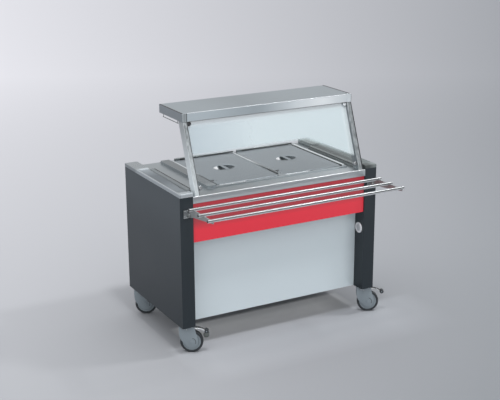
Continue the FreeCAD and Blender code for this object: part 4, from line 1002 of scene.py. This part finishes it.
# %% Surface of a lid
LID_HALF = [(high - low) / 2 for low, high in (ends_of("lid_left", X), ends_of("lid_left", Y))]
BAY_Y, DISH_Y = middle_of("lid_left", Y), middle_of("lid_handle_left", Y)
LID_CORNER, LID_FOOT, SHEET = 0.018, DECK_TOP + 0.0004, 0.0013
DISH_HALF, DISH_DEPTH = (0.065, 0.047), 0.0165
NOTCH_FROM, NOTCH_TO, NOTCH_DEPTH, NOTCH_EASE = -0.208, -0.174, 0.024, 0.010


def ease(v):
    """Smooth step from 0 to 1, flat at both ends."""
    v = np.clip(v, 0, 1)
    return v * v * (3 - 2 * v)


def rounded_rectangle(half_x, half_y, radius, corner, edge):
    """Outline of a rectangle with round corners, as points in order, with points along its edges too."""
    turn = np.linspace(0, np.pi / 2, corner)
    arc = np.stack([np.cos(turn), np.sin(turn)], 1) * radius
    spots = []
    for k, (sx, sy) in enumerate(((1, 1), (-1, 1), (-1, -1), (1, -1))):
        c, s = np.cos(k * np.pi / 2), np.sin(k * np.pi / 2)
        spots.append(arc @ np.array([[c, s], [-s, c]]) + (sx * (half_x - radius), sy * (half_y - radius)))
    share = np.linspace(0, 1, edge + 2)[1:-1, None]
    legs = [piece for k in range(4) for piece in
            (spots[k], spots[k][-1] * (1 - share) + spots[(k + 1) % 4][0] * share)]
    return np.concatenate(legs)


def lid_points(middle_x):
    """Rings of a lid: dish, flat, turned edge, then the underside back to the dish."""
    outline = rounded_rectangle(*LID_HALF, LID_CORNER, 10, 60)
    y = outline[:, 1]
    in_notch = ease((y - NOTCH_FROM) / NOTCH_EASE) * ease((NOTCH_TO - y) / NOTCH_EASE)
    outline[:, 0] += NOTCH_DEPTH * in_notch * (outline[:, 0] < -LID_HALF[0] + 0.004)
    dish_y = DISH_Y - BAY_Y
    angle = np.arctan2((outline[:, 1] - dish_y) / DISH_HALF[1], outline[:, 0] / DISH_HALF[0])
    oval = np.stack([np.cos(angle) * DISH_HALF[0], np.sin(angle) * DISH_HALF[1]], 1)
    dish = lambda size: oval * size + (0, dish_y)
    inward = -np.sign(outline) * np.minimum(1, np.abs(outline) / np.asarray(LID_HALF)) ** 30
    share, fall = np.linspace(0.02, 1, 14), LID_FOOT - LID_TOP
    rings = [(dish(s), -DISH_DEPTH * (1 - s ** 3.2) - 0.0006 * s ** 8) for s in share]
    rings += [(dish(1.05) * (1 - s) + (outline + inward * 0.003) * s, 0.0005 * (1 - s))
              for s in np.linspace(0, 1, 12)]
    rings += [(outline + inward * draw, drop) for draw, drop in
              ((0.0012, -0.0005), (0.0003, -0.0014), (0, -0.003), (0, fall), (SHEET, fall),
               (0.0032, -0.0032))]
    rings += [(dish(1.03), -0.0032)]
    rings += [(dish(s), -SHEET - DISH_DEPTH * (1 - s ** 3.2) - 0.0012) for s in share[::-1]]
    xy = np.stack([r for r, _ in rings]) + (middle_x, BAY_Y)
    z = np.stack([np.full(len(outline), LID_TOP + level) for _, level in rings])
    return np.concatenate([xy, z[..., None]], 2)


print("lid:", lid_points(0).shape[0], "rings of", lid_points(0).shape[1], "points")

# %% Lids and grips
RIVET_PLACE, NOTCH_SHADE_X, NOTCH_SHADE_Z = (-0.163, -0.172), -0.1765, LID_TOP - 0.0044
rivet_rows = [(0.0002, 0.0012), (0.0022, 0.0010), (0.0034, 0.0004), (0.0036, -0.0004), (0.0002, -0.0004)]
reach = np.linspace(-1, 1, 25)
for side, x in BAYS.items():
    body, steel = "lid_body_" + side, "lid_" + side
    lid = skin("lid_" + side + "_pressing", lid_points(x), smooth=50)
    add(lid, body, "stainless", steel, stands_for=["lid_" + side])
    strap_path = np.stack([np.full(25, x), DISH_Y + reach * (DISH_HALF[1] + 0.004),
                           LID_TOP + 0.0002 + 0.0016 * (1 - reach ** 2)], 1)
    strap = sweep("grip_strap_" + side, strap_path, ring(0.010, 0.0011, 4, 32), UPWARD)
    add(strap, body, "polished_tube", steel, stands_for=["lid_handle_" + side])
    rivet_centre = (x + RIVET_PLACE[0], RIVET_PLACE[1], LID_TOP + 0.0002)
    add(lathe("lid_rivet_" + side, rivet_rows, rivet_centre, UPWARD, 24), body, "stainless", "roll_steel")
    # Painted shade: a dark bar under the spoon notch, where its hollow would be in shadow.
    lay("notch_shade_" + side, run(Y, -0.168, -0.144, x + NOTCH_SHADE_X, NOTCH_SHADE_Z), (0.0095, 0.0014),
        "stainless", "black_plastic", body, power=5)
print("lids:", len(BAYS), "with", len(lid.data.polygons), "faces each")

# %% [markdown]
# ## End caps
# Each tower is closed by a pressed cap: a flat block at the rear, a trough that deepens towards the front
# and a raised front lip, inside a narrow rim. It is a height over a grid of length and width. A separate
# round-edged roll lies beside it on the worktop.

# %% Surfaces of a cap and a roll
CAP_WIDTH, CAP_FOOT, CAP_HALF = TOWER_OUTER - BAY_HALF, TOWER_TOP + 0.0001, REAR
TROUGH_REAR, TROUGH_FRONT, LIP_BACK = 0.200, -0.290, -0.325
ROLL_IN, ROLL_HALF, ROLL_RISE, ROLL_TIP = 0.0917, 0.0155, 0.0208, 0.014


def round_over(distance, radius):
    """How far a quarter-round of that radius falls below the top at a distance from the edge."""
    inside = np.clip(radius - distance, 0, radius)
    return radius - np.sqrt(radius ** 2 - inside ** 2)


def cap_points(sign):
    """Rows along the length, columns round the section: the top from outside to inside, then the foot."""
    across = np.concatenate([np.linspace(0, 0.003, 6), np.linspace(0.0045, 0.0095, 8),
                             np.linspace(0.011, CAP_WIDTH - 0.005, 30),
                             np.linspace(CAP_WIDTH - 0.0035, CAP_WIDTH, 7)])
    tips, inner = np.linspace(0, 0.004, 6), np.linspace(-1, 1, 120) * (CAP_HALF - 0.005)
    length = np.unique(np.concatenate([CAP_HALF - tips, -CAP_HALF + tips, inner]))
    u, y = np.meshgrid(across, length)
    along = ease((TROUGH_REAR - y) / 0.010) * ease((y - LIP_BACK) / (TROUGH_FRONT - LIP_BACK))
    rim, slope = ease((u - 0.0065) / 0.0015), ease((u - 0.008) / 0.016)
    dip = 0.0025 * rim + 0.0055 * slope - 0.0006 * ease((u - 0.045) / 0.030)
    deep = 0.0050 * np.exp(-((y + 0.215) / 0.085) ** 2) * ease((u - 0.008) / 0.020)
    top = CAP_TOP - along * (dip + deep) - round_over(u, 0.003) - round_over(CAP_WIDTH - u, 0.002)
    top -= round_over(CAP_HALF - np.abs(y), 0.003)
    upper = np.stack([sign * (TOWER_OUTER - u), y, top], 2)
    foot = np.stack([sign * (TOWER_OUTER - u[:, ::-1]), y, np.full_like(u, CAP_FOOT)], 2)
    return np.concatenate([upper, foot], 1)


def roll_points(sign):
    """A squared half-round, drawn in at both ends."""
    length = np.linspace(-1, 1, 80)
    y = (TROUGH_REAR + TROUGH_FRONT) / 2 + length * (TROUGH_REAR - TROUGH_FRONT) / 2
    tip = np.minimum(y - TROUGH_FRONT, TROUGH_REAR - y)
    swell = np.sqrt(np.clip(1 - np.clip(1 - tip / ROLL_TIP, 0, 1) ** 2, 0.02, 1))
    section = ring(ROLL_HALF, ROLL_RISE, 3.0, 56)
    x = sign * (TOWER_OUTER - ROLL_IN - section[:, 0] * swell[:, None])
    z = DECK_TOP + 0.0002 + np.maximum(section[:, 1], 0) * swell[:, None]
    return np.stack([x, np.broadcast_to(y[:, None], x.shape), z], 2)


print("cap:", cap_points(1).shape[0], "rows, roll:", roll_points(1).shape[0], "rows")

# %% End caps and rolls
CAP_SHADE_X, CAP_SHADE_Z = 0.5050, CAP_TOP - 0.0062
CAP_FINISH = {"left": ("stainless_y", "roll_light"), "right": ("cap_right", "roll_steel")}
for side, sign in SIDES.items():
    cap_finish, roll_finish = CAP_FINISH[side]
    cap = skin("cap_pressing_" + side, cap_points(sign), smooth=45)
    add(cap, "cabinet", "stainless", cap_finish, stands_for=["end_cap_" + side])
    add(skin("cap_roll_" + side, roll_points(sign), smooth=45), "cabinet", "stainless", roll_finish)
    # Painted shade: a dark bar along the inner edge of each roll's top.
    lay("cap_shade_line_" + side, run(Y, -0.283, 0.186, sign * CAP_SHADE_X, CAP_SHADE_Z), (0.0020, 0.0022),
        "black_plastic")
print("end caps:", len(cap.data.polygons), "faces each")

# %% [markdown]
# ## Beads and painted shade round the lids
# Behind each lid the surround is rolled up into a bead; a dark bar in front of it and two short dark bars
# at its ends are painted shade in the gap behind the lid. A bead also runs between the lids and along the
# left and right edges, and dark bars beside the right bead, along the left lid's edge and at the front of
# the middle bead are painted shade in the gaps there. They are round sections carried along straight
# paths that close at their ends.

# %% Beads and painted shade bars
BEAD_Y, REAR_SHADE_Y, CORNER_SHADE_Y = 0.3250, 0.3178, 0.3215
BEAD_Z, REAR_BEAD_Z, REAR_SHADE_Z, CORNER_SHADE_Z = (DECK_TOP + rise for rise in (0.0075, 0.0125, 0.0112, 0.0130))
for side, x in BAYS.items():
    low, high = x - 0.180, x + 0.180
    lay("rear_bead_" + side, run(X, low, high, BEAD_Y, REAR_BEAD_Z), (0.0060, 0.0080),
        "stainless", "bead_steel")
    # Painted shade: a dark bar in the gap behind the lid, and two short dark bars at its ends.
    lay("rear_seal_" + side, run(X, low + 0.034, high - 0.004, REAR_SHADE_Y, REAR_SHADE_Z), (0.0026, 0.0042),
        "black_plastic")
    for end, first, last in (("left", -0.146, -0.116), ("right", 0.170, 0.202)):
        lay("rear_stop_%s_%s" % (side, end), run(X, x + first, x + last, CORNER_SHADE_Y, CORNER_SHADE_Z), (0.0050, 0.0040),
            "black_plastic", power=4)
lay("bead_left", run(Y, -0.235, 0.312, -0.3335, BEAD_Z), (0.0055, 0.0042), "stainless", "divider_steel")
lay("bead_middle", run(Y, -0.100, 0.312, 0.0540, BEAD_Z), (0.0055, 0.0042), "stainless", "divider_steel")
lay("bead_right", run(Y, -0.240, 0.312, 0.4700, BEAD_Z), (0.0075, 0.0050), "stainless", "edge_steel")
# Painted shade: dark bars beside the right bead, along the left lid's edge and at the front of the middle
# bead.
lay("right_gap_shade", run(Y, -0.245, 0.306, 0.4545, BEAD_Z + 0.0008), (0.0026, 0.0024), "black_plastic")
lay("left_fold", run(Y, -0.243, 0.000, -0.3530, LID_TOP), (0.0020, 0.0014), "stainless", "roll_steel")
lay("divider_slot", run(Y, -0.212, -0.108, 0.0545, BEAD_Z + 0.0010), (0.0065, 0.0032),
    "black_plastic", power=4)
print("beads and shade bars:", 4 * len(BAYS) + 6)

# %% [markdown]
# ## Painted highlights and shade lines on the edges
# Where a sheet is folded over, the outer radius catches the light as a thin bright line: a slim rounded
# bar in a bright steel lies on the fold of the worktop's front edge and of the shelf's front edge as a
# painted highlight. The posts run up in front of the shelf, so a flat strip covers the shelf's front at
# each end, and a thin rail hangs under each end. Dark bars along the shelf's open edges and the right
# post's outer corner are painted shade lines.

# %% Nosings, corner strips and hanging rails
LIP_Y = SHELF_FRONT + 0.0008
STRIP_X, HANGING_X, HANGING_Z = 0.5065, 0.513, SHELF_FOOT - 0.0184
HANGER_HALF, HANGING_HALF = (0.0013, 0.0013), (0.0020, 0.0018)
# Painted highlight: bright bars on the worktop's and the shelf's front folds.
lay("worktop_nosing", run(X, 0.0015 - BAY_HALF, BAY_HALF - 0.0015, FRONT + 0.0012, DECK_TOP - 0.0006),
    (0.0022, 0.0022), "stainless", "nosing_steel")
lay("shelf_nosing", run(X, -0.492, SHELF_END - 0.0015, LIP_Y, SHELF_TOP - 0.0008), (0.0017, 0.0017),
    "stainless", "edge_steel")
for (side, sign), strip_finish in zip(SIDES.items(), ("post_steel", "shelf_steel")):
    lay("corner_strip_" + side,
        run(Z, SHELF_FOOT - 0.0005, SHELF_TOP - 0.0002, sign * STRIP_X, SHELF_FRONT - 0.0002),
        (0.0128, 0.0012), "stainless", strip_finish, power=6)
    x = sign * (SHELF_END - 0.004)
    # Painted shade: a dark bar along each end of the shelf's top.
    lay("end_fold_" + side, run(Y, SHELF_FRONT + 0.0025, SHELF_REAR - 0.0015, x, SHELF_TOP - 0.0002),
        (0.0044, 0.0014), "stainless", "black_plastic")
    x = sign * HANGING_X
    lay("hanging_rail_" + side, run(Y, -0.158, 0.034, x, HANGING_Z), HANGING_HALF,
        "zinc_steel", "roll_steel")
    for end, y in (("front", -0.150), ("rear", 0.026)):
        lay("rail_hanger_%s_%s" % (side, end), run(Z, HANGING_Z, SHELF_FOOT + 0.0010, x, y), HANGER_HALF,
            "zinc_steel", "roll_steel")
# Painted shade: dark bars on the right post's outer corner, the shelf's lower front edge and its right
# corner.
post_edge_x = POST_OUTER + 0.0017
lay("post_edge_right", [(post_edge_x, -0.3572, 0.8780), (post_edge_x, -0.2214, 1.2375)], (0.0024, 0.0020),
    "stainless", "black_plastic")
lay("shelf_under_edge", run(X, 0.002 - SHELF_END, SHELF_END - 0.002, LIP_Y, SHELF_FOOT - 0.0002),
    (0.0015, 0.0013), "stainless", "roll_steel")
lay("shelf_corner_right", run(Z, SHELF_FOOT + 0.0005, SHELF_TOP - 0.0010, SHELF_END - 0.0006, LIP_Y),
    (0.0013, 0.0013), "stainless", "roll_steel")
print("edges:", 5 + 5 * len(SIDES))

# %% [markdown]
# ## Brake pedals
# Each front caster has a pedal: a bright strap and a thin dark lever that meet in a round rubber tip. On
# the left one the strap is thicker and a grey foot hangs under the tip. Strap and lever are flat sections
# carried along a smooth curve; tip and foot are rounded outlines given a width.

# %% Curves of a pedal
TIP_X, TIP_Z, TIP_RADIUS, TIP_WIDTH, FOOT_WIDTH, TIP_EDGE = 0.1165, 0.1205, 0.0112, 0.030, 0.032, 0.003
PIN_X, PIN_Z = 0.010, 0.135
pedal_bend = np.array([(0.0138, 0.1350), (0.0300, 0.1352), (0.0520, 0.1350), (0.0740, 0.1335),
                       (0.0920, 0.1290), (0.1040, 0.1215), (0.1100, 0.1130)])
lever_bend = [(0.040, 0.1450), (0.072, 0.1428), (0.092, 0.1360), (0.108, 0.1285)]
tip_outline = ring(TIP_RADIUS, TIP_RADIUS) + (TIP_X, TIP_Z)
foot_outline = ring(0.0155, 0.0128, 2.6) + (0.1150, 0.0995)


def smooth_path(knots, steps=40):
    """A curve through knots: each coordinate is a cubic Hermite over even steps, with central slopes."""
    knots = np.asarray(knots, float)
    share = np.linspace(0, len(knots) - 1, steps)
    index = np.minimum(share.astype(int), len(knots) - 2)
    u = (share - index)[:, None]
    slope = np.gradient(knots, axis=0)
    a, b, m, n = knots[index], knots[index + 1], slope[index], slope[index + 1]
    rise, start, stop = 3 * u**2 - 2 * u**3, u**3 - 2 * u**2 + u, u**3 - u**2
    return (1 - rise) * a + start * m + rise * b + stop * n


def caster_path(corner, knots):
    """A smooth path in a caster's middle plane, from knots along the trail and up."""
    bend = smooth_path(knots)
    return caster_point(corner) + bend[:, :1] * along_trail + bend[:, 1:] * UPWARD


def across_axle(corner, x, z, half):
    """Both ends of a pin that lies along the axle."""
    return [caster_point(corner, x, y, z) for y in (-half, half)]


def pedal_pad(name, corner, outline, width):
    """A moulded pad: an outline along the trail and up, with its width along the axle."""
    return plate(name, outline, caster_point(corner), caster_axes, width, TIP_EDGE, smooth=60)


print("pedal curve:", len(smooth_path(pedal_bend)), "points")

# %% Pedals
STRAPS = {"front_left": (0, (0.0105, 0.0054)), "front_right": (0.003, (0.0080, 0.0022))}
for corner, (rise, strap_half) in STRAPS.items():
    body, path = "pedal_" + corner, caster_path(corner, pedal_bend + (0, rise))
    strap = sweep("pedal_strap_" + corner, path, ring(*strap_half, 5, 32), UPWARD)
    add(strap, body, "brake_metal", stands_for=["brake_pedal_" + corner])
    add(pedal_pad("pedal_tip_" + corner, corner, tip_outline, TIP_WIDTH), body, "tyre_rubber")
    lay("pedal_cap_" + corner, across_axle(corner, TIP_X, TIP_Z, 0.0165), (0.0042, 0.0042),
        "brake_metal", "caster_grey", body)
    lever_path = caster_path(corner, lever_bend)
    lever = sweep("pedal_lever_" + corner, lever_path, ring(0.0060, 0.0016, 3, 24), UPWARD)
    add(lever, body, "black_plastic")
    lay("pedal_pin_" + corner, across_axle(corner, PIN_X, PIN_Z, 0.0225), (0.0029, 0.0029),
        "brake_metal", body=body)
foot = pedal_pad("pedal_foot_front_left", "front_left", foot_outline, FOOT_WIDTH)
add(foot, "pedal_front_left", "tyre_rubber", "pad_rubber")
print("pedals: 2, strap length", round(float(np.linalg.norm(np.diff(path, axis=0), axis=1).sum()), 3), "m")

# %% [markdown]
# ## Parking cup, clamps and tray fittings
# Turned and moulded discs are outlines spun about an axis: the cup on the right tower with its hinged
# cover, the jaws that grip the glass from both sides, the pivot caps and screws of the tray's brackets
# and the plugs that close the tray's tubes.

# %% Parking cup and glass clamps
cup_ring = [(0.0194, -0.0160), (0.0200, -0.0140), (0.0200, 0.0034), (0.0207, 0.0046), (0.0220, 0.0050),
            (0.0252, 0.0050), (0.0258, 0.0040), (0.0268, 0.0040), (0.0274, 0.0048), (0.0296, 0.0046),
            (0.0306, 0.0034), (0.0310, 0.0016), (0.0310, 0.0001), (0.0228, 0.0001), (0.0227, -0.0190),
            (0.0194, -0.0190)]
cup_cover = [(0.0002, 0.0040), (0.0090, 0.0040), (0.0096, 0.0030), (0.0112, 0.0030), (0.0118, 0.0042),
             (0.0180, 0.0040), (0.0190, 0.0030), (0.0190, 0.0002), (0.0002, 0.0002)]
cup_centre, inward = (BAY_HALF, middle_of("plug_park_cup", Y), middle_of("plug_park_cup", Z)), (-1, 0, 0)
cup = lathe("cup_ring", cup_ring, cup_centre, inward, 72, loop=True)
add(cup, "cabinet", "cup_plastic", stands_for=["plug_park_cup"])
add(lathe("cup_cover", cup_cover, cup_centre, inward, 72), "cabinet", "cup_plastic", "cover_plastic")

LEAN, PANE_FOOT, JAW_RADIUS, TAB_OUT, TAB_REACH = 0.376, -0.3428, 0.012, 0.0066, 0.0122
# Painted light and shade: the left upper jaw is dark as painted shade, the right upper jaw bright as a
# painted highlight, and the upper jaws' tabs dark as painted shade.
JAW_FINISH = {"jaw_left_high": "black_plastic", "jaw_right_high": "edge_steel"}
pane_normal = np.array([0, -1, LEAN]) / math.hypot(1, LEAN)
jaw_rows = [(0.0002, 0.0095), (0.0030, 0.0095), (0.0034, 0.0112), (0.0080, 0.0112), (0.0105, 0.0102),
            (0.0118, 0.0078), (0.0118, 0.0036), (0.0112, 0.0033), (0.0002, 0.0033)]
jaw_x, clamp_ends = ends_of("glass_clamps", X)[1] - JAW_RADIUS, ends_of("glass_clamps", Z)
for side, sign in SIDES.items():
    for level, z in (("low", clamp_ends[0] + JAW_RADIUS), ("high", clamp_ends[1] - JAW_RADIUS)):
        spot = np.array([sign * jaw_x, PANE_FOOT + LEAN * (z - DECK_TOP), z])
        clamp = "jaw_%s_%s" % (side, level)
        for face, normal in (("front", pane_normal), ("rear", -pane_normal)):
            name = clamp + "_" + face
            add(lathe(name, jaw_rows, spot, normal, 40), "cabinet", "clamp_metal", JAW_FINISH.get(clamp),
                stands_for=["glass_clamps"] if name == "jaw_left_low_front" else ())
            root = spot + normal * TAB_OUT
            lay(name + "_tab", [root, root + (sign * TAB_REACH, 0, 0)], (0.0028, 0.0058), "clamp_metal",
                "roll_steel" if level == "high" else None, power=5)
print("cup and clamps: clamps lean", round(math.degrees(math.atan(LEAN)), 1), "degrees")

# %% [markdown]
# The tray's brackets carry domed pivot caps and screws, and a plug closes every tube. They are small turned
# pieces again, so only their outlines and places are new.

# %% Tray fittings
BRACKET_X, BRACKET_Z, BRACKET_FACE, PIVOT_Y = 0.570, middle_of("tray_brackets", Z), -0.364, -0.390
PIVOT_OUT, SCREW_DX, SCREW_DZ = 0.0085, 0.015, 0.014
RAIL_ENDS, RAIL_ROWS = ends_of("tray_rails", X), np.linspace(-0.442, -0.650, 3)
dome_rows = [(0.0002, 0.0036), (0.0030, 0.0034), (0.0058, 0.0026), (0.0076, 0.0012), (0.0080, 0.0001),
             (0.0002, 0.0001)]
screw_rows = [(0.0002, 0.0012), (0.0008, 0.0012), (0.0010, 0.0020), (0.0022, 0.0018), (0.0032, 0.0009),
              (0.0034, 0.0001), (0.0002, 0.0001)]
plug_rows = [(0.0002, 0.0030), (0.0040, 0.0026), (0.0066, 0.0014), (0.0078, 0.0002), (0.0002, 0.0002)]
screw_spots = [(dx, dz) for dz in (SCREW_DZ, -SCREW_DZ) for dx in (-SCREW_DX, SCREW_DX)]
for (side, sign), rail_end in zip(SIDES.items(), RAIL_ENDS):
    for face, way in (("outer", sign), ("inner", -sign)):
        centre = (sign * BRACKET_X + way * PIVOT_OUT, PIVOT_Y, BRACKET_Z)
        cap = lathe("pivot_cap_%s_%s" % (side, face), dome_rows, centre, (way, 0, 0), 32)
        add(cap, "cabinet", "zinc_steel", "roll_steel")
    for k, (dx, dz) in enumerate(screw_spots):
        centre = (sign * BRACKET_X + dx, BRACKET_FACE, BRACKET_Z + dz)
        head = lathe("bracket_screw_%s_%d" % (side, k), screw_rows, centre, (0, -1, 0), 20)
        add(head, "cabinet", "zinc_steel", "clamp_metal")
    for k, y in enumerate(RAIL_ROWS):
        plug = lathe("rail_plug_%s_%d" % (side, k), plug_rows, (rail_end, y, RAIL_Z), (sign, 0, 0), 32)
        add(plug, "tray_slide", "black_plastic")
print("tray fittings:", len(SIDES) * (2 + len(screw_spots) + len(RAIL_ROWS)))

# %% [markdown]
# ## Operator's side
# The controls at the rear are small mouldings. The knobs are turned with flutes: the radius of the
# outline is drawn in by a cosine of the angle, as strongly as each ring asks for. Lamp lenses are domes,
# the rocker has a hollow face, and the scale round each knob is a fan of short bars.

# %% Knobs and lamps
REARWARD, PANEL_Y = (0, 1, 0), 0.330
DIAL_Z, LAMP_Z = middle_of("thermostat_knob_left", Z), middle_of("pilot_lamps", Z)
POINTER_Y, TICK_FROM, TICK_TO, DIAL_SWEEP = PANEL_Y + 0.0188, 0.0245, 0.0285, 135
knob_rows = [(0.0002, 0.0006, 0), (0.0200, 0.0006, 0), (0.0208, 0.0014, 0), (0.0208, 0.0036, 0),
             (0.0196, 0.0058, 0), (0.0176, 0.0066, 0.2), (0.0171, 0.0085, 1), (0.0167, 0.0160, 1),
             (0.0156, 0.0180, 0.7), (0.0128, 0.0188, 0.1), (0.0002, 0.0186, 0)]
bezel_rows = [(0.0060, 0.0002), (0.0078, 0.0002), (0.0080, 0.0010), (0.0074, 0.0022), (0.0064, 0.0026),
              (0.0060, 0.0020)]
lens_rows = [(0.0002, 0.0062), (0.0024, 0.0058), (0.0044, 0.0044), (0.0055, 0.0022), (0.0057, 0.0002),
             (0.0002, 0.0002)]
for side in SIDES:
    x = middle_of("thermostat_knob_" + side, X)
    grip = lathe("dial_knob_" + side, knob_rows, (x, PANEL_Y, DIAL_Z), REARWARD, 144, 16, 0.09)
    add(grip, "knob_" + side, "black_plastic", stands_for=["thermostat_knob_" + side])
    lay("dial_pointer_" + side, run(Z, DIAL_Z + 0.003, DIAL_Z + 0.0135, x, POINTER_Y), (0.0010, 0.0006),
        "cup_plastic", body="knob_" + side)
    middle = np.array([x, PANEL_Y + 0.0003, DIAL_Z])
    for k, turn in enumerate(np.radians(np.linspace(-DIAL_SWEEP, DIAL_SWEEP, 11))):
        way = np.array([math.sin(turn), 0, math.cos(turn)])
        tick = [middle + way * TICK_FROM, middle + way * TICK_TO]
        lay("dial_tick_%s_%d" % (side, k), tick, (0.0006, 0.0006), "black_plastic", power=2, steps=12)
    centre = (x, PANEL_Y, LAMP_Z)
    bezel = lathe("lamp_bezel_" + side, bezel_rows, centre, REARWARD, 40, loop=True)
    add(bezel, "cabinet", "lamp_lens", "clamp_metal", stands_for=["pilot_lamps"] if side == "left" else ())
    add(lathe("lamp_dome_" + side, lens_rows, centre, REARWARD, 40), "cabinet", "lamp_lens")
print("controls: 2 lamps and 2 knobs of", len(grip.data.polygons), "faces")

# %% [markdown]
# The rocker is one outline with a hollow front, given a width. The gland's nut is turned with six shallow
# flutes, and screws hold the panel along its top and bottom.

# %% Rocker, gland and panel screws
ROCKER_HALF, ROCKER_FACE, ROCKER_BACK, ROCKER_WIDTH = 0.0068, 0.3317, 0.3250, 0.0255
PANEL_LOW, PANEL_HIGH = ends_of("control_panel", Z)
SCREW_X, SCREW_LOW, SCREW_HIGH = 0.518, PANEL_LOW + 0.018, PANEL_HIGH - 0.018
rise = np.linspace(1, -1, 21) * ROCKER_HALF
hollow = np.stack([ROCKER_FACE + 0.0016 * (rise / ROCKER_HALF) ** 2, DIAL_Z + rise], 1)
back_edge = [(ROCKER_BACK, DIAL_Z + drop) for drop in (-0.0066, 0, 0.0066)]
rocker_outline, rocker_axes = np.concatenate([hollow, back_edge]), (REARWARD, UPWARD, (1, 0, 0))
rocker = plate("switch_rocker_moulding", rocker_outline, (middle_of("switch_rocker", X), 0, 0), rocker_axes,
               ROCKER_WIDTH, 0.0006, smooth=50)
add(rocker, "rocker", "black_plastic", stands_for=["switch_rocker"])

gland_rows = [(0.0052, 0.0130, 0), (0.0052, 0.0004, 0), (0.0126, 0.0004, 1), (0.0130, 0.0012, 1),
              (0.0130, 0.0062, 1), (0.0122, 0.0070, 0.3), (0.0112, 0.0076, 0), (0.0108, 0.0105, 0),
              (0.0090, 0.0124, 0), (0.0060, 0.0130, 0)]
gland_centre = (middle_of("cable_gland", X), PANEL_Y, middle_of("cable_gland", Z))
gland = lathe("cable_gland_nut", gland_rows, gland_centre, REARWARD, 144, 6, 0.10, loop=True)
add(gland, "cabinet", "black_plastic", stands_for=["cable_gland"])
panel_spots = [(x, z) for x in (-SCREW_X, 0, SCREW_X) for z in (SCREW_LOW, SCREW_HIGH)]
for k, (x, z) in enumerate(panel_spots):
    head = lathe("panel_screw_%d" % k, screw_rows, (x, PANEL_Y, z), REARWARD, 20)
    add(head, "cabinet", "zinc_steel", "clamp_metal")
print("rocker, gland and", len(panel_spots), "screws")

# %% [markdown]
# The drain lever is a moulded paddle: a squared oval that widens and flattens from the hub to its tip,
# so its grid is a row of ovals with their own half sizes.

# %% Drain lever
LEVER_Z, LEVER_REACH, PADDLE_Y, HUB_Y = middle_of("drain_lever", Z), 0.089, 0.3560, 0.3445
HUB_X = ends_of("drain_lever", X)[0] + 0.008
reach = np.linspace(0, 1, 30)[:, None]
tip_round = np.sqrt(np.clip(1 - np.clip((reach - 0.93) / 0.07, 0, 0.99) ** 2, 0.02, 1))
half_high = (0.0050 + 0.0028 * ease(reach * 1.4)) * tip_round
half_deep = 0.0032 - 0.0010 * reach
across, deep = ring(1, 1, 3, 40).T
paddle = np.stack([HUB_X + LEVER_REACH * reach + 0 * across,
                   PADDLE_Y + 0.0016 * ease(reach * 2) + deep * half_deep,
                   LEVER_Z + across * half_high], 2)
add(skin("lever_paddle", paddle), "valve_lever", "lever_plastic", stands_for=["drain_lever"])
hub_rows = [(0.0040, 0.0146), (0.0052, 0.0158), (0.0070, 0.0154), (0.0079, 0.0140), (0.0079, 0.0010),
            (0.0072, 0.0002), (0.0040, 0.0002)]
lever_hub = lathe("lever_hub", hub_rows, (HUB_X, HUB_Y, LEVER_Z), REARWARD, 40, loop=True)
add(lever_hub, "valve_lever", "lever_plastic")
print("lever reach", LEVER_REACH, "m")

# %% [markdown]
# ## Close
# The size of the dressed trolley is measured and set beside the solids' own.

# %% Size and finish
low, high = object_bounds()
sizes = {"cad": [list(cad_low), list(cad_high)], "visual": [list(low), list(high)]}
print("visual box", [round(c, 4) for c in high - low])
